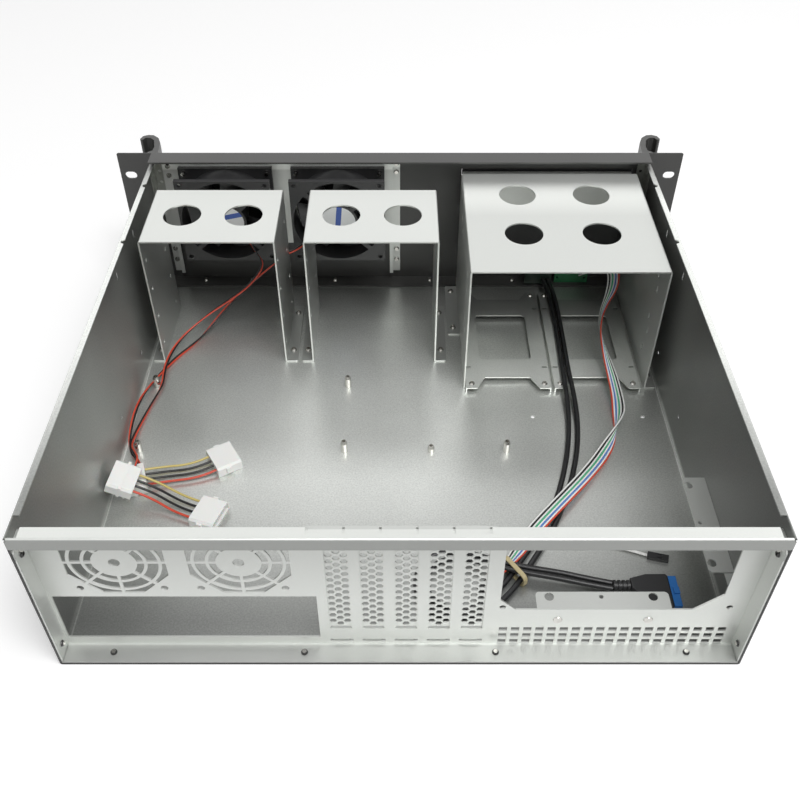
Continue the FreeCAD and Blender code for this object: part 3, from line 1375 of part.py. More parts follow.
# Each route is chosen by hand and ends at what it plugs into.
FAN_RIGHT_LEAD = [
    (-84.9, 370.5, 60.3), (-89.5, 363.6, 60.4), (-99.5, 359.6, 58.0), (-110.0, 352.5, 52.0),
    (-127.5, 349.5, 37.0), (-146.0, 341.5, 23.0), (-161.5, 327.5, 11.0), (-171.5, 313.5, 4.2),
    (-181.0, 300.0, 2.6), (-190.0, 287.0, 2.6), (-197.0, 273.0, 2.7), (-203.5, 257.0, 3.4),
    (-208.0, 238.0, 6.2), (-209.6, 218.0, 9.0), (-209.6, 200.0, 8.0), (-209.0, 186.0, 4.2),
    (-205.2, 175.0, 2.7), (-199.4, 169.6, 4.4), (-195.5, 160.6, 5.9),
]
FAN_LEFT_LEAD = [
    (-131.0, 370.1, 63.0), (-126.0, 363.0, 57.0), (-118.0, 354.0, 51.0), (-129.0, 339.0, 41.0),
    (-147.0, 331.5, 30.0), (-165.0, 324.5, 20.5), (-181.0, 313.0, 12.5), (-191.0, 299.5, 8.0),
    (-195.6, 284.0, 6.4), (-196.8, 268.0, 6.0), (-195.5, 251.0, 3.6), (-199.8, 234.0, 2.7),
    (-203.6, 213.0, 3.2), (-206.2, 193.0, 4.6), (-205.8, 178.5, 8.0), (-199.4, 167.5, 13.0),
    (-194.0, 158.0, 16.2), (-194.5, 148.6, 16.5),
]
USB_CORD_OUTER = [
    (132.5, 387.2, 9.6), (133.3, 367.0, 9.9), (135.6, 335.0, 8.6), (137.2, 297.0, 8.5),
    (136.8, 263.0, 9.0), (135.4, 239.5, 8.3), (131.0, 212.0, 3.6), (125.5, 180.0, 3.3),
    (118.0, 148.0, 3.3), (108.5, 119.0, 3.3), (97.0, 97.0, 3.5), (83.0, 76.0, 4.2),
    (71.0, 58.0, 4.2), (55.0, 42.0, 3.4), (37.0, 36.0, 3.4), (21.0, 43.0, 4.4),
    (16.0, 59.0, 5.2), (25.0, 74.0, 6.2), (44.0, 75.5, 7.6), (64.0, 68.3, 8.6),
    (85.0, 62.5, 8.6), (106.0, 58.5, 8.2), (125.0, 54.6, 6.8), (141.2, 52.2, 5.5),
]
USB_CORD_INNER = [
    (137.0, 387.2, 9.6), (138.4, 367.0, 9.0), (141.0, 335.0, 8.5), (142.2, 297.0, 8.5),
    (141.8, 263.0, 9.0), (140.6, 239.5, 8.3), (137.2, 211.0, 3.6), (132.0, 178.0, 3.3),
    (124.2, 145.0, 3.3), (114.0, 115.5, 3.3), (102.0, 93.0, 3.4), (88.4, 71.6, 4.2),
    (76.0, 52.5, 4.2), (58.5, 36.0, 3.4), (37.0, 29.4, 3.4), (16.0, 36.0, 4.4),
    (8.5, 57.0, 5.4), (18.0, 79.0, 6.4), (43.0, 81.0, 7.8), (65.4, 72.3, 8.5),
    (85.8, 66.8, 8.4), (107.0, 63.2, 8.2), (125.0, 59.2, 6.8), (141.3, 56.4, 5.5),
]
RIBBON = [
    (166.0, 390.8, 17.0), (168.5, 378.0, 21.0), (177.5, 363.0, 32.0), (186.0, 347.0, 41.0),
    (183.6, 330.0, 38.0), (175.0, 312.5, 31.0), (170.6, 293.5, 25.0), (172.3, 271.5, 17.5),
    (175.2, 247.0, 10.8), (174.2, 222.0, 5.6), (168.8, 196.0, 3.3), (156.0, 169.0, 3.3),
    (140.0, 146.5, 5.4), (125.0, 129.8, 7.8), (109.5, 115.5, 8.0), (95.0, 102.0, 7.2),
    (83.5, 86.0, 4.4), (72.8, 70.6, 4.2), (62.3, 58.9, 4.8),
]
INDICATOR_LEAD = [
    (103.6, 91.6, 2.2), (111.5, 88.8, 2.2), (125.0, 88.4, 2.2), (141.0, 89.8, 2.2),
    (156.5, 87.0, 2.4), (170.3, 81.5, 2.5),
]


def power_leads(name, start, end, mid_level):
    """Four wires between two connector housings, each in its own pair of holes."""
    routes = []
    for number in range(4):
        across = 5.08 * (number - 1.5)
        first = start.multVec(FreeCAD.Vector(-8.4, across, 0))
        leave = start.multVec(FreeCAD.Vector(-22.0, across, 0))
        reach = end.multVec(FreeCAD.Vector(-22.0, -across, 0))
        last = end.multVec(FreeCAD.Vector(-8.4, -across, 0))
        leave.z = max(leave.z, mid_level) if leave.z > 7 else mid_level
        reach.z = mid_level
        routes.append([tuple(first), tuple(leave), tuple(reach), tuple(last)])
    cord(name, routes, 0.9)


def cables():
    """The connectors and every cord between them."""
    raised = power_connector("power_socket_raised", (-199.7, 136.6, 18.4), 174, -22, True)
    flat = power_connector("power_socket_flat", (-197.3, 146.6, 5.95), 198, 0, True)
    upper = power_connector("power_plug_upper", (-133.1, 168.0, 5.6), 31, 0, False)
    lower = power_connector("power_plug_lower", (-136.4, 115.4, 5.6), -20, 0, False)
    power_leads("power_leads_upper", flat, upper, 4.4)
    power_leads("power_leads_lower", raised, lower, 5.0)
    cord("fan_right_lead", [FAN_RIGHT_LEAD], 1.35)
    cord("fan_left_lead", [FAN_LEFT_LEAD], 1.35)
    cord("usb_cord_outer", [USB_CORD_OUTER], 2.0)
    cord("usb_cord_inner", [USB_CORD_INNER], 2.0)
    cord("ribbon_cable", [RIBBON], 2.0)
    cord("indicator_lead", [INDICATOR_LEAD], 1.0)


# ---------------------------------------------------------------- build and write
chassis_tray()
rear_panel()
slot_covers()
psu_shelf_bracket()
psu_side_bracket()
front_panel()
handles()
corner_brackets()
drive_brackets()
optical_cage()
ssd_trays()
fan_plate()
intake_filter()
for side_name, fan_centre in (("fan_left", fan_left), ("fan_right", fan_right)):
    fan_frame(side_name, fan_centre)
    fan_rotor(f"{side_name}_rotor", fan_centre)
bay_covers()
usb_ports()
boards()
buttons()
standoffs()
screws()
usb_plug()
small_connectors()
rubber_band()
cables()

doc.recompute()
for thing in doc.Objects:
    if "Invalid" in thing.State or "Error" in thing.State:
        raise RuntimeError(f"{thing.Label}: {thing.State}")
for name, thing in parts.items():
    if thing.Shape.isNull() or not thing.Shape.isValid():
        raise RuntimeError(f"{name}: its shape is not valid")
os.makedirs("parts", exist_ok=True)
for name, thing in parts.items():
    thing.Shape.exportStep(f"parts/{name}.step")
print(len(parts), "parts written")
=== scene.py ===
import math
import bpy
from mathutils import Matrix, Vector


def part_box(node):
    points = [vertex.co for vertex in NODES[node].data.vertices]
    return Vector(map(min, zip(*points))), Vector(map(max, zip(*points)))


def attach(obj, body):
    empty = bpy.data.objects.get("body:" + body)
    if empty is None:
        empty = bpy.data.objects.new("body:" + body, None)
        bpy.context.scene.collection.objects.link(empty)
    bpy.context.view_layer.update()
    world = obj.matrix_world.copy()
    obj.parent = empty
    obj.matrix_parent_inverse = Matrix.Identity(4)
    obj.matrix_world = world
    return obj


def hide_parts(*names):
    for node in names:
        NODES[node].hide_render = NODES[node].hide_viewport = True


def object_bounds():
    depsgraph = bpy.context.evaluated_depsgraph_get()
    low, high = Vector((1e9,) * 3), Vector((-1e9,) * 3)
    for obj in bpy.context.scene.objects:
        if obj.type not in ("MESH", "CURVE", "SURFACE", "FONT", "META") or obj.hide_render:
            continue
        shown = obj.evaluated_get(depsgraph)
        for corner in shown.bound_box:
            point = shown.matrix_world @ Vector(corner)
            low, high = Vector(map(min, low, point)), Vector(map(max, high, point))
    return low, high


bl_info = {
    "name": "Server Case Finish",
    "version": (1, 0, 0),
    "blender": (4, 5, 0),
    "location": "View3D > Sidebar > Server Case",
    "description": "Finishes, cables and studio for an open rackmount server case",
    "category": "Object",
}

import bmesh
import bpy
from bpy.props import FloatProperty, FloatVectorProperty, PointerProperty
from mathutils import Matrix, Vector

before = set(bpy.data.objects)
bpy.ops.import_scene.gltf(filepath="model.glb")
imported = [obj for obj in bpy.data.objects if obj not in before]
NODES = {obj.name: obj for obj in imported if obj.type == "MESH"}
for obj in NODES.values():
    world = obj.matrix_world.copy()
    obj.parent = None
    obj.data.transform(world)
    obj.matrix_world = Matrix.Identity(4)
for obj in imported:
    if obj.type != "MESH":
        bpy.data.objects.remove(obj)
cad_box = [list(corner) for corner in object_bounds()]

# Where cables lie, in millimetres, from what each leaves to what it plugs into.
FAN_RIGHT_LEAD = [
    (-84.9, 370.5, 60.3), (-89.5, 363.6, 60.4), (-99.5, 359.6, 58.0), (-110.0, 352.5, 52.0),
    (-127.5, 349.5, 37.0), (-146.0, 341.5, 23.0), (-161.5, 327.5, 11.0), (-171.5, 313.5, 4.2),
    (-181.0, 300.0, 2.6), (-190.0, 287.0, 2.6), (-197.0, 273.0, 2.7), (-203.5, 257.0, 3.4),
    (-208.0, 238.0, 6.2), (-209.6, 218.0, 9.0), (-209.6, 200.0, 8.0), (-209.0, 186.0, 4.2),
    (-205.2, 175.0, 2.7), (-199.4, 169.6, 4.4), (-195.5, 160.6, 5.9),
]
FAN_LEFT_LEAD = [
    (-131.0, 370.1, 63.0), (-126.0, 363.0, 57.0), (-118.0, 354.0, 51.0), (-129.0, 339.0, 41.0),
    (-147.0, 331.5, 30.0), (-165.0, 324.5, 20.5), (-181.0, 313.0, 12.5), (-191.0, 299.5, 8.0),
    (-195.6, 284.0, 6.4), (-196.8, 268.0, 6.0), (-195.5, 251.0, 3.6), (-199.8, 234.0, 2.7),
    (-203.6, 213.0, 3.2), (-206.2, 193.0, 4.6), (-205.8, 178.5, 8.0), (-199.4, 167.5, 13.0),
    (-194.0, 158.0, 16.2), (-194.5, 148.6, 16.5),
]
USB_CORD_OUTER = [
    (132.5, 387.2, 9.6), (135.4, 367.0, 9.9), (136.4, 335.0, 8.6), (136.0, 297.0, 8.5),
    (134.8, 263.0, 9.0), (134.8, 239.5, 8.3), (134.0, 212.0, 3.6), (129.0, 180.0, 3.3),
    (120.5, 148.0, 3.3), (109.5, 119.0, 3.3), (97.0, 97.0, 3.5), (83.0, 76.0, 4.2),
    (71.0, 58.0, 4.2), (55.0, 42.0, 3.4), (37.0, 36.0, 3.4), (21.0, 43.0, 4.4),
    (16.0, 59.0, 5.2), (25.0, 74.0, 6.2), (44.0, 75.5, 7.6), (64.0, 68.3, 8.6),
    (85.0, 62.5, 8.6), (106.0, 58.5, 8.2), (125.0, 54.6, 6.8), (141.2, 52.2, 5.5),
]
USB_CORD_INNER = [
    (137.0, 387.2, 9.6), (140.2, 367.0, 9.0), (140.9, 335.0, 8.5), (140.4, 297.0, 8.5),
    (139.6, 263.0, 9.0), (140.5, 239.5, 8.3), (140.9, 211.0, 3.6), (136.0, 178.0, 3.3),
    (126.4, 145.0, 3.3), (114.4, 115.5, 3.3), (102.0, 93.0, 3.4), (88.4, 71.6, 4.2),
    (76.0, 52.5, 4.2), (58.5, 36.0, 3.4), (37.0, 29.4, 3.4), (16.0, 36.0, 4.4),
    (8.5, 57.0, 5.4), (18.0, 79.0, 6.4), (43.0, 81.0, 7.8), (65.4, 72.3, 8.5),
    (85.8, 66.8, 8.4), (107.0, 63.2, 8.2), (125.0, 59.2, 6.8), (141.3, 56.4, 5.5),
]
RIBBON = [
    (166.0, 390.8, 17.0), (169.5, 380.0, 28.0), (178.5, 364.0, 42.0), (185.6, 349.0, 50.0),
    (183.2, 331.0, 43.0), (171.6, 312.5, 31.0), (168.6, 293.5, 25.0), (171.0, 271.5, 17.5),
    (174.6, 247.0, 10.8), (175.2, 222.0, 6.4), (168.6, 196.0, 6.2), (151.8, 169.0, 4.6),
    (134.5, 146.5, 6.4), (120.5, 129.8, 7.8), (108.0, 115.5, 8.0), (96.0, 102.0, 7.2),
    (83.5, 86.0, 4.4), (72.8, 70.6, 4.2), (62.3, 58.9, 4.8),
]
INDICATOR_LEAD = [
    (103.6, 91.6, 2.2), (111.5, 88.8, 2.2), (125.0, 88.4, 2.2), (141.0, 89.8, 2.2),
    (156.5, 87.0, 2.4), (170.3, 81.5, 2.5),
]

# One pitch of a power housing's pins, and where its wires leave it and first bend, in millimetres.
PIN_PITCH = 5.08
HOUSING_EDGE = -8.4
FIRST_BEND = -22.0

# The power leads: node, first housing's middle, its yaw and tilt in degrees, second housing's middle and
# yaw, the level in millimetres at which the wires lie, and the housings they join. A wire's first bend lies
# at that level too, unless the housing holds it higher than LYING_HEIGHT.
POWER_LEADS = (
    ("power_leads_upper", (-197.3, 146.6, 5.95), 198, 0, (-133.1, 168.0, 5.6), 31, 4.4,
     ("power_socket_flat", "power_plug_upper")),
    ("power_leads_lower", (-199.7, 136.6, 18.4), 174, -22, (-136.4, 115.4, 5.6), -20, 5.0,
     ("power_socket_raised", "power_plug_lower")),
)
LYING_HEIGHT = 7

# How far the ribbon leans over, in radians, at shares of its length.
RIBBON_LEAN = ((0.0, 1.2), (0.10, 0.7), (0.19, 0.25), (0.30, 1.57), (0.42, 2.75), (0.49, 3.0),
               (0.55, 4.71), (0.61, 6.0), (0.70, 6.25), (0.90, 6.3), (1.0, 7.4))
LEAN_BLUR = 0.02

# How much of its full radius a wire of a pair is drawn with, so that the two don't touch.
PAIR_FILL = 0.98
UP = Vector((0, 0, 1))

# Screws that hold the rear panel to the tray, in metres: how far in from the tray's rear edge, where they
# stand across the floor and up the walls, how far their heads are above the panel's underside and in from
# the tray's sides, and the radius and height of each ring of a head.
REAR_SCREW_SETBACK = 0.0072
FLOOR_SCREWS = (-0.1804, -0.0602, 0.0602, 0.1804)
WALL_SCREWS = (0.0126, 0.1047)
FLOOR_HEAD_RISE = 0.00145
WALL_HEAD_INSET = 0.0022
SCREW_PROFILE = ((0.0, 0.0004), (0.0009, 0.0004), (0.0011, 0.0012), (0.0015, 0.0011), (0.0020, 0.0005),
                 (0.0022, -0.0003))
SCREW_SIDES = 20

# Fan labels, in metres: size, gap to the motor, and half the width of the blue band. Each fan's band has its
# turn in radians and its distance from the middle.
LABEL_RADIUS = 0.0150
LABEL_THICKNESS = 0.00025
LABEL_GAP = 0.00015
BAND_HALF_WIDTH = 0.0023
BANDS = (("fan_left", -0.22, 0.0048), ("fan_right", math.pi / 2 + 0.1, 0.0))

# Painted shade and light on the sheet: where each begins and ends along its axis in metres, then its factor
# at either end.
TRAY_REAR = (0.03, 0.15, 0.40, 1.0)
TRAY_FRONT = (0.335, 0.385, 1.0, 0.40)
# A painted highlight along the middle of the tray's floor, with painted shade towards its sides.
TRAY_HIGHLIGHT = (0.03, 0.17, 1.17, 0.95)
TRAY_MIDDLE = -0.02
WALL_FOOT = (0.002, 0.006, 0.0, 1.0)
RIGHT_WALL = (0.20, 0.36, 0.64, 0.30)
LEFT_WALL = (0.17, 0.33, 0.33, 0.54)
PLATE_FRONT_SHADE = (0.300, 0.365, 1.0, 0.35)
# Painted light on the cage's lid near the front panel.
LID_LEVEL = (0.110, 0.112, 0.0, 0.48)
LID_FRONT = (0.325, 0.370, 0.0, 1.0)
LOWER_FLANGE = (0.0040, 0.0048, 0.22, 0.0)
LOWER_FLANGE_DEPTH = (0.0118, 0.0126, 1.0, 0.0)
WEB_HEIGHT = (0.050, 0.115, 0.0, 0.24)
WEB_DEPTH = (0.0126, 0.0130, 0.0, 1.0)

# Painted shade and light that keep to a sheet's own edge: where each begins and ends from that edge in
# metres, then its factor at either end.
WALL_TOP = (-0.0022, -0.0012, 1.0, 0.0)
RIGHT_WALL_FACE = (-0.0018, -0.0014, 0.0, 1.0)
LEFT_WALL_FACE = (0.0014, 0.0018, 1.0, 0.0)
WALL_FLANGE_LIGHT = (-0.0012, -0.0008, 1.0, 1.16)
BACKING_TOP_LIGHT = (-0.008, -0.006, 1.0, 1.5)
LIP_FACE = (0.0003, 0.0009, 1.0, 0.0)
LIP_HEIGHT = (-0.020, -0.019, 0.0, 0.78)
RAIL_TOP_LIGHT = (-0.0125, -0.0115, 1.0, 1.25)

# The tray's folds, with a painted highlight: how far in from its side each begins and ends, its top and how
# much paler the painted highlight is; and how deep the outside paint reaches at the sides and the base, and
# at the rear edge. Lengths are in metres.
FOLD_INNER = 0.0025
FOLD_OUTER = 0.0016
FOLD_TOP = 0.0022
FOLD_HIGHLIGHT = 0.45
PAINT_DEPTH = 0.0004
REAR_PAINT_DEPTH = 0.0005

# The studio: half the floor's size and its gap under the case in metres, the height at which the sky turns
# into the ceiling, from 0 at eye level to 1 overhead, and where the lamp hangs and aims in metres.
FLOOR_HALF_SIZE = 6.0
FLOOR_GAP = 0.0002
CEILING_EDGE = (0.74, 0.88)
LAMP_PLACE = (1.0, -1.3, 4.0)
LAMP_AIM = (0.0, 0.15, 0.0)


# ---------------------------------------------------------------- settings
class SheetSettings(bpy.types.PropertyGroup):
    """Finishes of the folded sheet and of the front."""

    zinc_colour: FloatVectorProperty(
        name="Zinc", description="Colour of the plated sheet", subtype="COLOR", size=3,
        default=(0.665, 0.68, 0.655))
    zinc_roughness: FloatProperty(
        name="Zinc roughness", description="How soft the plated sheet's reflections are",
        default=0.36, min=0.0, max=1.0, subtype="FACTOR")
    paint_colour: FloatVectorProperty(
        name="Front paint", description="Colour of the painted front and handles", subtype="COLOR", size=3,
        default=(0.045, 0.045, 0.043))
    outside_colour: FloatVectorProperty(
        name="Outside paint", description="Colour of the tray's painted outside", subtype="COLOR", size=3,
        default=(0.02, 0.02, 0.02))


class CableSettings(bpy.types.PropertyGroup):
    """Wire sizes and insulation colours."""

    lead_radius: FloatProperty(
        name="Power wire radius", description="Radius of a power wire", default=0.0009, unit="LENGTH")
    pair_radius: FloatProperty(
        name="Fan wire radius", description="Radius of one fan wire", default=0.00072, unit="LENGTH")
    thin_radius: FloatProperty(
        name="Indicator wire radius", description="Radius of one thin white wire", default=0.00055,
        unit="LENGTH")
    usb_radius: FloatProperty(
        name="USB cord radius", description="Radius of a USB cord", default=0.0020, unit="LENGTH")
    ribbon_pitch: FloatProperty(
        name="Ribbon pitch", description="Distance between the wires", default=0.00132, unit="LENGTH")
    yellow: FloatVectorProperty(
        name="Yellow", description="Yellow insulation", subtype="COLOR", size=3, default=(0.60, 0.49, 0.17))
    red: FloatVectorProperty(
        name="Red", description="Red insulation", subtype="COLOR", size=3, default=(0.62, 0.07, 0.035))
    black: FloatVectorProperty(
        name="Black", description="Black insulation", subtype="COLOR", size=3, default=(0.012, 0.012, 0.013))


class StudioSettings(bpy.types.PropertyGroup):
    """The camera's place and the level of the light."""

    camera_height: FloatProperty(
        name="Camera height", description="Height of the camera", default=0.52946, unit="LENGTH")
    camera_back: FloatProperty(
        name="Camera distance", description="How far behind the case's rear edge the camera stands",
        default=0.30547, unit="LENGTH")
    camera_pitch: FloatProperty(
        name="Camera pitch", description="How far the camera looks down",
        default=math.radians(42.321), subtype="ANGLE")
    camera_shift: FloatProperty(
        name="Camera shift", description="How far the frame is moved up, as a share of its width",
        default=-0.0402)
    lens: FloatProperty(name="Lens", description="Focal length", default=41.82, unit="CAMERA")
    floor_colour: FloatVectorProperty(
        name="Floor", description="Colour of the floor", subtype="COLOR", size=3, default=(0.93, 0.93, 0.93))
    floor_lift: FloatProperty(
        name="Floor lift", description="How much paler the floor is to the camera and in reflections",
        default=0.16)
    sky: FloatProperty(name="Sky", description="Strength of the even light", default=0.35)
    walls: FloatProperty(name="Walls", description="Strength of the pale walls around", default=1.32)
    ceiling: FloatProperty(name="Ceiling", description="Strength of the ceiling over the case", default=0.2)
    key: FloatProperty(
        name="Key", description="Power of the large soft lamp", default=150.0, unit="POWER")


# ---------------------------------------------------------------- shader helpers
def node_of(tree, kind, **values):
    """A shader node with its properties and plain sockets set by name."""
    made = tree.nodes.new(kind)
    for key, value in values.items():
        if hasattr(made, key):
            setattr(made, key, value)
        else:
            made.inputs[key].default_value = value
    return made


def ramp(tree, value, start, end, low, high):
    """A clamped straight ramp of a value; from low at start to high at end."""
    mapped = node_of(tree, "ShaderNodeMapRange")
    tree.links.new(value, mapped.inputs["Value"])
    for label, amount in (("From Min", start), ("From Max", end), ("To Min", low), ("To Max", high)):
        mapped.inputs[label].default_value = amount
    return mapped.outputs["Result"]


def edge_ramp(tree, value, edge, start, end, low, high):
    """A ramp that is placed from the edge of a sheet."""
    return ramp(tree, value, edge + start, edge + end, low, high)


def combine(tree, operation, *values):
    """One maths node on sockets or numbers."""
    made = node_of(tree, "ShaderNodeMath", operation=operation)
    for socket, value in zip(made.inputs, values):
        if isinstance(value, (int, float)):
            socket.default_value = value
        else:
            tree.links.new(value, socket)
    return made.outputs[0]


def place_of(tree):
    """The shaded point's coordinates, one socket each."""
    place = tree.nodes.new("ShaderNodeNewGeometry")
    split = tree.nodes.new("ShaderNodeSeparateXYZ")
    tree.links.new(place.outputs["Position"], split.inputs[0])
    return split.outputs


def base_colour(material):
    """The Principled shader and the socket that colours it."""
    shader = material.node_tree.nodes["Principled BSDF"]
    return shader, shader.inputs["Base Color"].links[0].from_socket


def scale_colour(material, factor):
    """Multiply a material's base colour by a factor socket."""
    tree = material.node_tree
    shader, source = base_colour(material)
    tinted = node_of(tree, "ShaderNodeVectorMath", operation="SCALE")
    tree.links.new(source, tinted.inputs[0])
    tree.links.new(factor, tinted.inputs["Scale"])
    tree.links.new(tinted.outputs[0], shader.inputs["Base Color"])


def colour_over(material, mask, colour):
    """Lay a second colour over a material's own where the mask is 1."""
    tree = material.node_tree
    shader, source = base_colour(material)
    blend = node_of(tree, "ShaderNodeMix", data_type="RGBA")
    tree.links.new(mask, blend.inputs["Factor"])
    tree.links.new(source, blend.inputs["A"])
    blend.inputs["B"].default_value = (*colour, 1.0)
    tree.links.new(blend.outputs["Result"], shader.inputs["Base Color"])


def times(colour, factor):
    return tuple(part * factor for part in colour)


def sheet_tone_group():
    """Slow tone, fine grain and roughness changes of a rolled or plated sheet."""
    name = "Sheet Tone"
    if name in bpy.data.node_groups:
        return bpy.data.node_groups[name]
    group = bpy.data.node_groups.new(name, "ShaderNodeTree")
    face = group.interface
    for label, value in (("Patch Scale", 14.0), ("Patch Depth", 0.08), ("Grain Scale", 900.0),
                         ("Grain Depth", 0.04), ("Roughness", 0.35), ("Roughness Spread", 0.08)):
        face.new_socket(label, in_out="INPUT", socket_type="NodeSocketFloat").default_value = value
    face.new_socket("Colour", in_out="INPUT", socket_type="NodeSocketColor")
    face.new_socket("Colour", in_out="OUTPUT", socket_type="NodeSocketColor")
    face.new_socket("Roughness", in_out="OUTPUT", socket_type="NodeSocketFloat")
    face.new_socket("Height", in_out="OUTPUT", socket_type="NodeSocketFloat")
    enter = group.nodes.new("NodeGroupInput")
    leave = group.nodes.new("NodeGroupOutput")
    place = group.nodes.new("ShaderNodeTexCoord")
    patches = node_of(group, "ShaderNodeTexNoise", Detail=3.0, Roughness=0.55)
    grain = node_of(group, "ShaderNodeTexNoise", Detail=2.0, Roughness=0.6)
    links = group.links
    links.new(place.outputs["Object"], patches.inputs["Vector"])
    links.new(place.outputs["Object"], grain.inputs["Vector"])
    links.new(enter.outputs["Patch Scale"], patches.inputs["Scale"])
    links.new(enter.outputs["Grain Scale"], grain.inputs["Scale"])

    def swing(noise, depth):
        """How far the noise moves a value from its middle."""
        centred = combine(group, "SUBTRACT", noise.outputs["Fac"], 0.5)
        return combine(group, "MULTIPLY", centred, enter.outputs[depth])

    both = combine(group, "ADD", swing(patches, "Patch Depth"), swing(grain, "Grain Depth"))
    tint = node_of(group, "ShaderNodeVectorMath", operation="SCALE")
    links.new(enter.outputs["Colour"], tint.inputs[0])
    links.new(combine(group, "ADD", both, 1.0), tint.inputs["Scale"])
    links.new(tint.outputs[0], leave.inputs["Colour"])
    rough = combine(group, "ADD", enter.outputs["Roughness"], swing(patches, "Roughness Spread"))
    rough.node.use_clamp = True
    links.new(rough, leave.inputs["Roughness"])
    links.new(grain.outputs["Fac"], leave.inputs["Height"])
    return group


def label_band_group():
    """A straight band across a round label, by its turn, its distance from the middle and its width."""
    name = "Label Band"
    if name in bpy.data.node_groups:
        return bpy.data.node_groups[name]
    group = bpy.data.node_groups.new(name, "ShaderNodeTree")
    for label in ("Across", "Up", "Turn", "Shift", "Half Width"):
        group.interface.new_socket(label, in_out="INPUT", socket_type="NodeSocketFloat")
    group.interface.new_socket("Mask", in_out="OUTPUT", socket_type="NodeSocketFloat")
    enter = group.nodes.new("NodeGroupInput").outputs
    leave = group.nodes.new("NodeGroupOutput")
    over = combine(group, "MULTIPLY", enter["Up"], combine(group, "COSINE", enter["Turn"]))
    aside = combine(group, "MULTIPLY", enter["Across"], combine(group, "SINE", enter["Turn"]))
    away = combine(group, "SUBTRACT", combine(group, "ADD", over, aside), enter["Shift"])
    inside = combine(group, "LESS_THAN", combine(group, "ABSOLUTE", away), enter["Half Width"])
    group.links.new(inside, leave.inputs["Mask"])
    return group


def surface(name, colour, metallic=0.0, roughness=0.4, patch=0.08, patch_scale=14.0, grain=0.04,
            grain_scale=900.0, spread=0.08, bump=0.02, bump_distance=0.0004, coat=0.0):
    """A Principled material whose colour, roughness and bump come from the shared tone group."""
    material = bpy.data.materials.new(name)
    material.use_nodes = True
    tree = material.node_tree
    shader = tree.nodes["Principled BSDF"]
    tone = tree.nodes.new("ShaderNodeGroup")
    tone.node_tree = sheet_tone_group()
    tone.inputs["Colour"].default_value = (*colour, 1.0)
    for label, value in (("Patch Scale", patch_scale), ("Patch Depth", patch), ("Grain Scale", grain_scale),
                         ("Grain Depth", grain), ("Roughness", roughness), ("Roughness Spread", spread)):
        tone.inputs[label].default_value = value
    shader.inputs["Metallic"].default_value = metallic
    shader.inputs["Coat Weight"].default_value = coat
    tree.links.new(tone.outputs["Colour"], shader.inputs["Base Color"])
    tree.links.new(tone.outputs["Roughness"], shader.inputs["Roughness"])
    lumps = node_of(tree, "ShaderNodeBump", Strength=bump, Distance=bump_distance)
    tree.links.new(tone.outputs["Height"], lumps.inputs["Height"])
    tree.links.new(lumps.outputs["Normal"], shader.inputs["Normal"])
    return material


def dress(material, *names):
    """Give CAD nodes one material."""
    for name in names:
        mesh = NODES[name].data
        mesh.materials.clear()
        mesh.materials.append(material)


def nodes_like(*starts):
    """Names of the CAD nodes that begin in one of these ways."""
    return [name for name in sorted(NODES) if name.startswith(starts)]


# ---------------------------------------------------------------- mesh helpers
def add_piece(name, mesh, body, slot, *materials):
    """Link a finished mesh or curve as a piece that rides on a body."""
    piece = bpy.data.objects.new(name, mesh)
    bpy.context.scene.collection.objects.link(piece)
    for material in materials:
        mesh.materials.append(material)
    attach(piece, body)
    return piece


def metres(route):
    """A route's points as vectors in metres."""
    return [Vector(point) / 1000 for point in route]


def route_curve(name, points, radius):
    """A NURBS curve that follows the points, with a round section."""
    curve = bpy.data.curves.new(name, "CURVE")
    curve.dimensions = "3D"
    spline = curve.splines.new("NURBS")
    spline.points.add(len(points) - 1)
    for control, point in zip(spline.points, points):
        control.co = (*point, 1.0)
    spline.order_u = 3
    spline.use_endpoint_u = True
    spline.resolution_u = 10
    curve.bevel_depth = radius
    curve.bevel_resolution = 3
    curve.use_fill_caps = True
    return curve


def route_line(points):
    """The smooth line of a route, read from its spline, with even spacing."""
    curve = route_curve("line", points, 0.0)
    curve.use_fill_caps = False
    probe = bpy.data.objects.new("line", curve)
    bpy.context.scene.collection.objects.link(probe)
    bpy.context.view_layer.update()
    mesh = bpy.data.meshes.new_from_object(probe.evaluated_get(bpy.context.evaluated_depsgraph_get()))
    line = [vertex.co.copy() for vertex in mesh.vertices]
    bpy.data.objects.remove(probe)
    bpy.data.curves.remove(curve)
    bpy.data.meshes.remove(mesh)
    return line


def line_length(line):
    return sum((b - a).length for a, b in zip(line, line[1:]))


def frames_along(line, side):
    """Tangent, side and up at each point, carried along the line without twisting."""
    found = []
    for index, point in enumerate(line):
        ahead = line[min(index + 1, len(line) - 1)]
        behind = line[max(index - 1, 0)]
        tangent = (ahead - behind).normalized()
        side = (side - tangent * side.dot(tangent)).normalized()
        found.append((point, tangent, side, tangent.cross(side)))
    return found


def sweep_strand(mesh, centres, radius, slot, sides=8):
    """Add one round strand along its centres to a bmesh, capped at both ends."""
    rings = []
    side = UP if abs((centres[1] - centres[0]).normalized().z) < 0.9 else Vector((1, 0, 0))
    for point, _, across, up in frames_along(centres, side):
        rings.append([mesh.verts.new(point + (across * math.cos(turn) + up * math.sin(turn)) * radius)
                      for turn in (2 * math.pi * k / sides for k in range(sides))])
    for before, after in zip(rings, rings[1:]):
        for k in range(sides):
            face = mesh.faces.new((before[k], before[(k + 1) % sides], after[(k + 1) % sides], after[k]))
            face.material_index = slot
            face.smooth = True
    for ring, flip in ((rings[0], True), (rings[-1], False)):
        cap = mesh.faces.new(ring[::-1] if flip else ring)
        cap.material_index = slot


def finish_mesh(name, mesh):
    """Turn a bmesh into mesh data with its faces pointing outward."""
    bmesh.ops.recalc_face_normals(mesh, faces=mesh.faces)
    data = bpy.data.meshes.new(name)
    mesh.to_mesh(data)
    mesh.free()
    return data


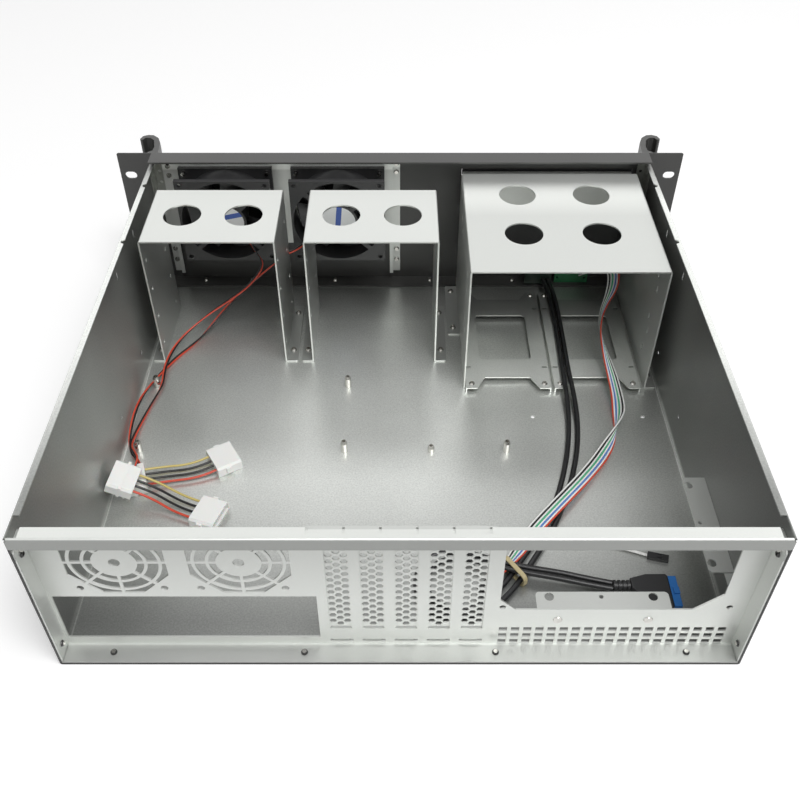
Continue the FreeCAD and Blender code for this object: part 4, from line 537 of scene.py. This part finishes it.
# ---------------------------------------------------------------- operators
class CASE_OT_sheet_metal(bpy.types.Operator):
    """Plate the folded sheet pieces, paint shade and light onto their colour, and paint the tray's outside"""

    bl_idname = "case.sheet_metal"
    bl_label = "Sheet metal"

    def execute(self, context):
        settings = context.scene.sheet_settings
        zinc = tuple(settings.zinc_colour)
        tray = surface("Zinc tray", times(zinc, 1.08), metallic=0.80, roughness=settings.zinc_roughness,
                       patch=0.30, patch_scale=11.0, grain=0.60, grain_scale=850.0, spread=0.12)
        self.shade_ends(tray)
        self.shade_walls(tray)
        self.paint_fold_highlight(tray)
        self.paint_outside(tray, tuple(settings.outside_colour))
        dress(tray, "chassis_tray")
        panel = surface("Zinc panel", times(zinc, 0.95), metallic=0.75,
                        roughness=settings.zinc_roughness + 0.06, patch=0.08, grain=0.05)
        self.shade_lip(panel)
        dress(panel, "rear_panel", "psu_shelf_bracket", "psu_side_bracket", *nodes_like("slot_cover_"))
        bracket = surface("Zinc bracket", times(zinc, 0.97), metallic=0.82,
                          roughness=settings.zinc_roughness - 0.04, patch=0.10, grain=0.05)
        dress(bracket, "drive_bracket_left", "drive_bracket_middle")
        backing = surface("Zinc backing", times(zinc, 0.92), metallic=0.6, roughness=0.42, patch=0.10)
        tree = backing.node_tree
        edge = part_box("fan_plate")[1].z
        # Painted light along the fan plate's top edge.
        scale_colour(backing, edge_ramp(tree, place_of(tree)["Z"], edge, *BACKING_TOP_LIGHT))
        dress(backing, "fan_plate")
        # The SSD trays' plate: its colour raised as painted light, with painted shade towards the front.
        plate = surface("Zinc plate", times(zinc, 1.25), metallic=0.75, roughness=0.38, patch=0.10, grain=0.2)
        tree = plate.node_tree
        scale_colour(plate, ramp(tree, place_of(tree)["Y"], *PLATE_FRONT_SHADE))
        dress(plate, "ssd_tray_left", "ssd_tray_right")
        cage = surface("Zinc cage", times(zinc, 0.95), metallic=0.75, roughness=0.40, patch=0.08, grain=0.05)
        self.paint_lid_light(cage)
        dress(cage, "optical_cage")
        dark = surface("Dark zinc", (0.36, 0.37, 0.34), metallic=0.7, roughness=0.42, patch=0.1)
        dress(dark, "corner_bracket_left", "corner_bracket_right")
        return {"FINISHED"}

    def shade_ends(self, material):
        """Painted shade on the tray's floor towards its rear edge and under the front panel, and a painted
        highlight along its middle.
        """
        tree = material.node_tree
        place = place_of(tree)
        rear = ramp(tree, place["Y"], *TRAY_REAR)
        front = ramp(tree, place["Y"], *TRAY_FRONT)
        beside = combine(tree, "ABSOLUTE", combine(tree, "SUBTRACT", place["X"], TRAY_MIDDLE))
        middle = ramp(tree, beside, *TRAY_HIGHLIGHT)
        scale_colour(material, combine(tree, "MULTIPLY", combine(tree, "MULTIPLY", rear, front), middle))

    def shade_walls(self, material):
        """Painted shade on the upright walls, most of all the right one, and painted light on their tops."""
        low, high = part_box("chassis_tray")
        tree = material.node_tree
        place = place_of(tree)
        upright = combine(tree, "MULTIPLY", ramp(tree, place["Z"], *WALL_FOOT),
                          edge_ramp(tree, place["Z"], high.z, *WALL_TOP))
        right = combine(tree, "MULTIPLY", edge_ramp(tree, place["X"], high.x, *RIGHT_WALL_FACE),
                        ramp(tree, place["Y"], *RIGHT_WALL))
        left = combine(tree, "MULTIPLY", edge_ramp(tree, place["X"], low.x, *LEFT_WALL_FACE),
                       ramp(tree, place["Y"], *LEFT_WALL))
        walls = combine(tree, "MULTIPLY", combine(tree, "ADD", right, left), upright)
        flange = edge_ramp(tree, place["Z"], high.z, *WALL_FLANGE_LIGHT)
        scale_colour(material, combine(tree, "SUBTRACT", flange, walls))

    def paint_fold_highlight(self, material):
        """A painted highlight on the bends between the floor and the walls."""
        _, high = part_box("chassis_tray")
        tree = material.node_tree
        place = place_of(tree)
        across = combine(tree, "ABSOLUTE", place["X"])
        beyond = combine(tree, "GREATER_THAN", across, high.x - FOLD_INNER)
        before = combine(tree, "LESS_THAN", across, high.x - FOLD_OUTER)
        down = combine(tree, "LESS_THAN", place["Z"], FOLD_TOP)
        fold = combine(tree, "MULTIPLY", combine(tree, "MULTIPLY", beyond, before), down)
        scale_colour(material, combine(tree, "ADD", 1.0, combine(tree, "MULTIPLY", fold, FOLD_HIGHLIGHT)))

    def paint_lid_light(self, material):
        """Painted light on the cage's lid where it nears the front panel."""
        tree = material.node_tree
        place = place_of(tree)
        near = combine(tree, "MULTIPLY", ramp(tree, place["Y"], *LID_FRONT),
                       ramp(tree, place["Z"], *LID_LEVEL))
        scale_colour(material, combine(tree, "ADD", 1.0, near))

    def shade_lip(self, material):
        """Painted shade on the rail's lip, the lower flange and the web's top, and painted light on the
        rail's top.
        """
        low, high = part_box("rear_panel")
        tree = material.node_tree
        place = place_of(tree)
        lip = combine(tree, "MULTIPLY", edge_ramp(tree, place["Y"], low.y, *LIP_FACE),
                      edge_ramp(tree, place["Z"], high.z, *LIP_HEIGHT))
        flange = combine(tree, "MULTIPLY", ramp(tree, place["Z"], *LOWER_FLANGE),
                         ramp(tree, place["Y"], *LOWER_FLANGE_DEPTH))
        web = combine(tree, "MULTIPLY", ramp(tree, place["Z"], *WEB_HEIGHT),
                      ramp(tree, place["Y"], *WEB_DEPTH))
        painted_shade = combine(tree, "ADD", lip, combine(tree, "ADD", flange, web))
        top = edge_ramp(tree, place["Z"], high.z, *RAIL_TOP_LIGHT)
        scale_colour(material, combine(tree, "SUBTRACT", top, painted_shade))

    def paint_outside(self, material, colour):
        """Black paint on faces that look outward from the tray."""
        low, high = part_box("chassis_tray")
        tree = material.node_tree
        place = place_of(tree)
        mask = combine(tree, "LESS_THAN", place["X"], low.x + PAINT_DEPTH)
        for axis, operation, edge in (("X", "GREATER_THAN", high.x - PAINT_DEPTH),
                                      ("Y", "LESS_THAN", low.y + REAR_PAINT_DEPTH),
                                      ("Z", "LESS_THAN", low.z + PAINT_DEPTH)):
            mask = combine(tree, "MAXIMUM", mask, combine(tree, operation, place[axis], edge))
        colour_over(material, mask, colour)
        metallic = tree.nodes["Principled BSDF"].inputs["Metallic"]
        tree.links.new(ramp(tree, mask, 0.0, 1.0, metallic.default_value, 0.0), metallic)


class CASE_OT_front(bpy.types.Operator):
    """Paint the front panel and its handles, and finish the bay covers"""

    bl_idname = "case.front"
    bl_label = "Front"

    def execute(self, context):
        paint = surface("Front paint", tuple(context.scene.sheet_settings.paint_colour), roughness=0.42,
                        patch=0.06, grain=0.10, grain_scale=1600.0, bump=0.12, coat=0.1)
        dress(paint, "front_panel", "handle_left", "handle_right")
        cover = surface("Bay cover", (0.03, 0.03, 0.03), roughness=0.5, bump=0.15, grain_scale=2200.0)
        dress(cover, "bay_cover_lower", "bay_cover_upper")
        foam = surface("Filter foam", (0.012, 0.012, 0.012), roughness=0.95, patch=0.2, grain=0.8,
                       grain_scale=1400.0, bump=0.6, bump_distance=0.0008)
        dress(foam, "intake_filter")
        return {"FINISHED"}


class CASE_OT_fasteners(bpy.types.Operator):
    """Finish the screws and stand-offs"""

    bl_idname = "case.fasteners"
    bl_label = "Fasteners"

    def execute(self, context):
        bright = surface("Bright screw", (0.56, 0.55, 0.52), metallic=1.0, roughness=0.20, patch=0.3,
                         patch_scale=260.0)
        dress(bright, "standoffs", *[name for name in NODES if name.endswith("_screws")])
        black = surface("Black screw", (0.018, 0.018, 0.017), roughness=0.25, patch=0.3, patch_scale=300.0)
        mesh = bmesh.new()
        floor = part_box("rear_panel")[0].z + FLOOR_HEAD_RISE
        for across in FLOOR_SCREWS:
            self.screw_head(mesh, Matrix.Translation((across, REAR_SCREW_SETBACK, floor)))
        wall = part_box("chassis_tray")[1].x - WALL_HEAD_INSET
        for side in (1, -1):
            inward = Matrix.Rotation(side * math.pi / 2, 4, "Y")
            for level in WALL_SCREWS:
                place = Matrix.Translation((-side * wall, REAR_SCREW_SETBACK, level))
                self.screw_head(mesh, place @ inward)
        add_piece("rear_screws", finish_mesh("rear_screws", mesh), "case", "zinc_screw", black)
        return {"FINISHED"}

    def screw_head(self, mesh, place):
        """A low round head with a stepped socket, open underneath."""
        rings = []
        for radius, height in SCREW_PROFILE:
            turns = [2 * math.pi * k / SCREW_SIDES for k in range(SCREW_SIDES if radius else 1)]
            spots = [Vector((radius * math.cos(turn), radius * math.sin(turn), height)) for turn in turns]
            rings.append([mesh.verts.new(place @ spot) for spot in spots])
        for inner, outer in zip(rings, rings[1:]):
            for k in range(SCREW_SIDES):
                ahead = (k + 1) % SCREW_SIDES
                corners = [inner[k % len(inner)], outer[k], outer[ahead], inner[ahead % len(inner)]]
                mesh.faces.new(corners[:3] if len(inner) == 1 else corners)


class CASE_OT_fans(bpy.types.Operator):
    """Finish both fans and put a plain round label on each motor"""

    bl_idname = "case.fans"
    bl_label = "Fans"

    def execute(self, context):
        plastic = surface("Fan plastic", (0.028, 0.028, 0.029), roughness=0.34, patch=0.1, bump=0.05)
        dress(plastic, *nodes_like("fan_left_frame", "fan_right_frame", "fan_left_rotor", "fan_right_rotor"))
        for side, turn, shift in BANDS:
            low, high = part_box(f"{side}_frame")
            centre = (low + high) / 2
            label = self.label_material(side, centre, turn, shift)
            mesh = bmesh.new()
            bmesh.ops.create_cone(mesh, cap_ends=True, segments=48, radius1=LABEL_RADIUS,
                                  radius2=LABEL_RADIUS, depth=LABEL_THICKNESS)
            mesh.transform(Matrix.Translation((centre.x, low.y - LABEL_GAP, centre.z))
                           @ Matrix.Rotation(math.pi / 2, 4, "X"))
            add_piece(f"{side}_label", finish_mesh(f"{side}_label", mesh), "case", "nylon_white", label)
        return {"FINISHED"}

    def label_material(self, side, centre, turn, shift):
        """White paper with a narrow plain blue band, turned with the fan."""
        material = surface(f"{side} label", (0.90, 0.91, 0.92), roughness=0.45, patch=0.03)
        tree = material.node_tree
        place = place_of(tree)
        band = tree.nodes.new("ShaderNodeGroup")
        band.node_tree = label_band_group()
        tree.links.new(combine(tree, "SUBTRACT", place["X"], centre.x), band.inputs["Across"])
        tree.links.new(combine(tree, "SUBTRACT", place["Z"], centre.z), band.inputs["Up"])
        for name, value in (("Turn", turn), ("Shift", shift), ("Half Width", BAND_HALF_WIDTH)):
            band.inputs[name].default_value = value
        colour_over(material, band.outputs["Mask"], (0.06, 0.13, 0.48))
        return material


class CASE_OT_controls(bpy.types.Operator):
    """Finish the boards, sockets, buttons and lights behind the front"""

    bl_idname = "case.controls"
    bl_label = "Controls"

    def execute(self, context):
        dress(surface("Green board", (0.02, 0.16, 0.06), roughness=0.35, patch=0.2, patch_scale=120.0),
              "control_board")
        dress(surface("Dark board", (0.015, 0.03, 0.02), roughness=0.35, coat=0.3), "usb_board")
        dress(surface("Socket shell", (0.75, 0.75, 0.74), metallic=1.0, roughness=0.22), "usb_ports")
        dress(surface("Switch body", (0.02, 0.02, 0.02), roughness=0.4), "board_switches")
        dress(surface("Button cap", (0.05, 0.05, 0.05), roughness=0.3, coat=0.2),
              "power_button", "reset_button")
        dress(surface("Light pipe", (0.70, 0.78, 0.82), roughness=0.15, coat=0.5), "light_pipes")
        return {"FINISHED"}


class CASE_OT_connectors(bpy.types.Operator):
    """Finish the plugs on the cables and the band round them"""

    bl_idname = "case.connectors"
    bl_label = "Connectors"

    def execute(self, context):
        nylon = surface("White nylon", (0.82, 0.82, 0.80), roughness=0.38, patch=0.04, bump=0.04)
        shader = nylon.node_tree.nodes["Principled BSDF"]
        shader.inputs["Subsurface Weight"].default_value = 0.15
        shader.inputs["Subsurface Scale"].default_value = 0.002
        dress(nylon, *nodes_like("power_plug_", "power_socket_"))
        dress(surface("Black moulding", (0.014, 0.014, 0.015), roughness=0.42, bump=0.1),
              "usb_plug_body", "indicator_plug", "header_plug")
        dress(surface("Blue insert", (0.02, 0.15, 0.46), roughness=0.32, patch=0.05), "usb_plug_insert")
        dress(surface("Tan rubber", (0.52, 0.44, 0.25), roughness=0.55, patch=0.2, patch_scale=300.0),
              "rubber_band")
        return {"FINISHED"}


def insulation(name, colour):
    """The soft shine of a wire's plastic."""
    return surface(name, colour, roughness=0.33, patch=0.08, patch_scale=80.0, bump=0.03)


class CASE_OT_power_leads(bpy.types.Operator):
    """Lay the four-wire leads between the power housings"""

    bl_idname = "case.power_leads"
    bl_label = "Power leads"

    def execute(self, context):
        cables = context.scene.cable_settings
        colours = {"yellow": insulation("Yellow wire", tuple(cables.yellow)),
                   "black": insulation("Black wire", tuple(cables.black)),
                   "red": insulation("Red wire", tuple(cables.red))}
        order = ("yellow", "black", "black", "red")
        for node, start, yaw, tilt, end, end_yaw, level, plugs in POWER_LEADS:
            leave = Matrix.Rotation(math.radians(yaw), 3, "Z") @ Matrix.Rotation(math.radians(tilt), 3, "Y")
            arrive = Matrix.Rotation(math.radians(end_yaw), 3, "Z")
            for number, colour in enumerate(order):
                across = PIN_PITCH * (number - (len(order) - 1) / 2)
                route = [leave @ Vector((HOUSING_EDGE, across, 0)) + Vector(start),
                         leave @ Vector((FIRST_BEND, across, 0)) + Vector(start),
                         arrive @ Vector((FIRST_BEND, -across, 0)) + Vector(end),
                         arrive @ Vector((HOUSING_EDGE, -across, 0)) + Vector(end)]
                if route[1].z <= LYING_HEIGHT:
                    route[1].z = level
                route[2].z = level
                points = metres(route)
                curve = route_curve(f"{node}_{number + 1}", points, cables.lead_radius)
                wire = add_piece(f"{node}_{number + 1}", curve, "case", "wire_group", colours[colour])
                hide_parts(node)
                line_length(route_line(points))
        return {"FINISHED"}


class CASE_OT_fan_leads(bpy.types.Operator):
    """Lay each fan's black and red wires, loosely twisted together"""

    bl_idname = "case.fan_leads"
    bl_label = "Fan leads"

    def execute(self, context):
        cables = context.scene.cable_settings
        black = bpy.data.materials["Black wire"]
        red = bpy.data.materials["Red wire"]
        for name, route, turns, plug in (("fan_right_lead", FAN_RIGHT_LEAD, 2.2, "power_socket_flat"),
                                         ("fan_left_lead", FAN_LEFT_LEAD, 1.6, "power_socket_raised")):
            line = route_line(metres(route))
            mesh = bmesh.new()
            for slot, phase in ((0, 0.0), (1, math.pi)):
                centres = []
                for index, (point, _, side, up) in enumerate(frames_along(line, UP)):
                    angle = phase + 2 * math.pi * turns * index / (len(line) - 1)
                    outward = side * math.cos(angle) + up * math.sin(angle)
                    centres.append(point + outward * cables.pair_radius)
                sweep_strand(mesh, centres, cables.pair_radius * PAIR_FILL, slot)
            pair = add_piece(name + "_pair", finish_mesh(name, mesh), "case", "wire_pair", black, red)
            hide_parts(name)
        return {"FINISHED"}


class CASE_OT_usb_cords(bpy.types.Operator):
    """Lay the two black cords from the USB sockets to their header plug"""

    bl_idname = "case.usb_cords"
    bl_label = "USB cords"

    def execute(self, context):
        cables = context.scene.cable_settings
        jacket = surface("Black jacket", (0.013, 0.013, 0.014), roughness=0.36, patch=0.1, bump=0.04,
                         coat=0.1)
        for name, route in (("usb_cord_outer", USB_CORD_OUTER), ("usb_cord_inner", USB_CORD_INNER)):
            points = metres(route)
            cord = add_piece(name + "_jacket", route_curve(name, points, cables.usb_radius), "case",
                             "wire_black", jacket)
            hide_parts(name)
            line_length(route_line(points))
        return {"FINISHED"}


class CASE_OT_ribbon(bpy.types.Operator):
    """Lay the flat ribbon of the front controls, which turns over as it falls to the floor"""

    bl_idname = "case.ribbon"
    bl_label = "Ribbon cable"

    def execute(self, context):
        pitch = context.scene.cable_settings.ribbon_pitch
        colours = {"black": bpy.data.materials["Black wire"],
                   "red": bpy.data.materials["Red wire"],
                   "white": insulation("White wire", (0.86, 0.86, 0.84)),
                   "blue": insulation("Blue wire", (0.10, 0.22, 0.55)),
                   "green": insulation("Green wire", (0.08, 0.42, 0.22))}
        slots = list(colours)
        order = ("red", "white", "blue", "white", "green", "white", "black", "white")
        line = route_line(metres(RIBBON))
        mesh = bmesh.new()
        strands = [[] for _ in order]
        for index, (point, tangent, _, _) in enumerate(frames_along(line, UP)):
            share = index / (len(line) - 1)
            level = tangent.cross(UP).normalized()
            up = level.cross(tangent)
            tilt = self.tilt(share)
            across = level * math.cos(tilt) + up * math.sin(tilt)
            for number, strand in enumerate(strands):
                strand.append(point + across * pitch * (number - (len(order) - 1) / 2))
        for strand, colour in zip(strands, order):
            sweep_strand(mesh, strand, pitch / 2, slots.index(colour), sides=6)
        ribbon = add_piece("ribbon_strands", finish_mesh("ribbon", mesh), "case", "wire_ribbon",
                           *colours.values())
        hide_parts("ribbon_cable")
        return {"FINISHED"}

    def tilt(self, share):
        """How far the ribbon leans over at a share of its length, in radians, smoothed a little."""
        total = 0.0
        shifts = (-LEAN_BLUR, 0.0, LEAN_BLUR)
        for shift in shifts:
            near = min(max(share + shift, 0.0), 1.0)
            for (start, before), (end, after) in zip(RIBBON_LEAN, RIBBON_LEAN[1:]):
                if near <= end:
                    total += before + (after - before) * (near - start) / (end - start)
                    break
        return -total / len(shifts)


class CASE_OT_indicator_lead(bpy.types.Operator):
    """Lay the white pair that ends in the two-pin plug"""

    bl_idname = "case.indicator_lead"
    bl_label = "Indicator lead"

    def execute(self, context):
        white = bpy.data.materials["White wire"]
        line = route_line(metres(INDICATOR_LEAD))
        radius = context.scene.cable_settings.thin_radius
        mesh = bmesh.new()
        for way in (-1, 1):
            centres = [point + tangent.cross(UP).normalized() * radius * way
                       for point, tangent, _, _ in frames_along(line, UP)]
            sweep_strand(mesh, centres, radius * PAIR_FILL, 0)
        pair = add_piece("indicator_pair", finish_mesh("indicator", mesh), "case", "wire_white", white)
        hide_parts("indicator_lead")
        return {"FINISHED"}


class CASE_OT_studio(bpy.types.Operator):
    """Set the floor, the light and the camera"""

    bl_idname = "case.studio"
    bl_label = "Studio"

    def execute(self, context):
        studio = context.scene.studio_settings
        self.floor(context, studio)
        self.light(context, studio)
        self.camera(context, studio)
        context.scene.view_settings.view_transform = "Standard"
        return {"FINISHED"}

    def floor(self, context, studio):
        """A plain pale floor under the case."""
        mesh = bpy.data.meshes.new("floor")
        size = FLOOR_HALF_SIZE
        mesh.from_pydata([(-size, -size, 0), (size, -size, 0), (size, size, 0), (-size, size, 0)], [],
                         [(0, 1, 2, 3)])
        floor = bpy.data.objects.new("floor", mesh)
        floor.location.z = cad_box[0][2] - FLOOR_GAP
        context.scene.collection.objects.link(floor)
        material = bpy.data.materials.new("Studio floor")
        material.use_nodes = True
        tree = material.node_tree
        shader = tree.nodes["Principled BSDF"]
        shader.inputs["Base Color"].default_value = (*studio.floor_colour, 1.0)
        shader.inputs["Roughness"].default_value = 0.9
        shader.inputs["Specular IOR Level"].default_value = 0.1
        shader.inputs["Emission Color"].default_value = (1.0, 1.0, 1.0, 1.0)
        rays = tree.nodes.new("ShaderNodeLightPath").outputs
        seen = combine(tree, "MAXIMUM", rays["Is Glossy Ray"], rays["Is Transmission Ray"])
        seen = combine(tree, "MAXIMUM", rays["Is Camera Ray"], seen)
        tree.links.new(combine(tree, "MULTIPLY", seen, studio.floor_lift), shader.inputs["Emission Strength"])
        mesh.materials.append(material)

    def light(self, context, studio):
        """An even sky, pale walls and a darker ceiling for the metal to reflect, and one large soft lamp."""
        world = bpy.data.worlds.new("Studio sky")
        context.scene.world = world
        world.use_nodes = True
        tree = world.node_tree
        backdrop = tree.nodes["Background"]
        backdrop.inputs["Color"].default_value = (1.0, 1.0, 1.0, 1.0)
        rays = tree.nodes.new("ShaderNodeLightPath")
        aim = tree.nodes.new("ShaderNodeTexCoord")
        parts = tree.nodes.new("ShaderNodeSeparateXYZ")
        tree.links.new(aim.outputs["Generated"], parts.inputs[0])
        mirrored = ramp(tree, parts.outputs["Z"], *CEILING_EDGE, studio.walls, studio.ceiling)
        strength = None
        for ray, level in (("Is Glossy Ray", mirrored), ("Is Camera Ray", 1.0),
                           ("Is Transmission Ray", 1.0)):
            choice = node_of(tree, "ShaderNodeMix", data_type="FLOAT")
            tree.links.new(rays.outputs[ray], choice.inputs["Factor"])
            if strength is None:
                choice.inputs["A"].default_value = studio.sky
                tree.links.new(level, choice.inputs["B"])
            else:
                tree.links.new(strength, choice.inputs["A"])
                choice.inputs["B"].default_value = level
            strength = choice.outputs["Result"]
        tree.links.new(strength, backdrop.inputs["Strength"])
        lamp = bpy.data.lights.new("key", "AREA")
        lamp.shape = "SQUARE"
        lamp.size = 2.4
        lamp.energy = studio.key
        holder = bpy.data.objects.new("key", lamp)
        holder.location = LAMP_PLACE
        holder.rotation_euler = (Vector(LAMP_AIM) - holder.location).to_track_quat("-Z", "Y").to_euler()
        context.scene.collection.objects.link(holder)

    def camera(self, context, studio):
        """A level camera behind the case, looking down into it."""
        camera = bpy.data.cameras.new("camera")
        camera.lens = studio.lens
        camera.sensor_width = 36.0
        camera.shift_y = studio.camera_shift
        camera.clip_start = 0.01
        holder = bpy.data.objects.new("camera", camera)
        holder.location = (0.0, -studio.camera_back, studio.camera_height)
        holder.rotation_euler = (math.pi / 2 - studio.camera_pitch, 0.0, 0.0)
        context.scene.collection.objects.link(holder)
        context.scene.camera = holder


class CASE_PT_panel(bpy.types.Panel):
    """The case's steps in the sidebar"""

    bl_label = "Server Case"
    bl_idname = "CASE_PT_panel"
    bl_space_type = "VIEW_3D"
    bl_region_type = "UI"
    bl_category = "Server Case"

    def draw(self, context):
        layout = self.layout
        scene = context.scene
        for group in (scene.sheet_settings, scene.cable_settings, scene.studio_settings):
            box = layout.box()
            for field in group.bl_rna.properties:
                if field.identifier not in ("rna_type", "name"):
                    box.prop(group, field.identifier)
        for step in STEPS:
            layout.operator(step.bl_idname)


STEPS = (CASE_OT_sheet_metal, CASE_OT_front, CASE_OT_fasteners, CASE_OT_fans, CASE_OT_controls,
         CASE_OT_connectors, CASE_OT_power_leads, CASE_OT_fan_leads, CASE_OT_usb_cords, CASE_OT_ribbon,
         CASE_OT_indicator_lead, CASE_OT_studio)
CLASSES = (SheetSettings, CableSettings, StudioSettings, *STEPS, CASE_PT_panel)


def register():
    for made in CLASSES:
        bpy.utils.register_class(made)
    bpy.types.Scene.sheet_settings = PointerProperty(type=SheetSettings)
    bpy.types.Scene.cable_settings = PointerProperty(type=CableSettings)
    bpy.types.Scene.studio_settings = PointerProperty(type=StudioSettings)


def unregister():
    del bpy.types.Scene.studio_settings
    del bpy.types.Scene.cable_settings
    del bpy.types.Scene.sheet_settings
    for made in reversed(CLASSES):
        bpy.utils.unregister_class(made)


def main():
    register()
    bpy.ops.case.sheet_metal()
    bpy.ops.case.front()
    bpy.ops.case.fasteners()
    bpy.ops.case.fans()
    bpy.ops.case.controls()
    bpy.ops.case.connectors()
    bpy.ops.case.power_leads()
    bpy.ops.case.fan_leads()
    bpy.ops.case.usb_cords()
    bpy.ops.case.ribbon()
    bpy.ops.case.indicator_lead()
    bpy.ops.case.studio()


if __name__ == "__main__":
    main()
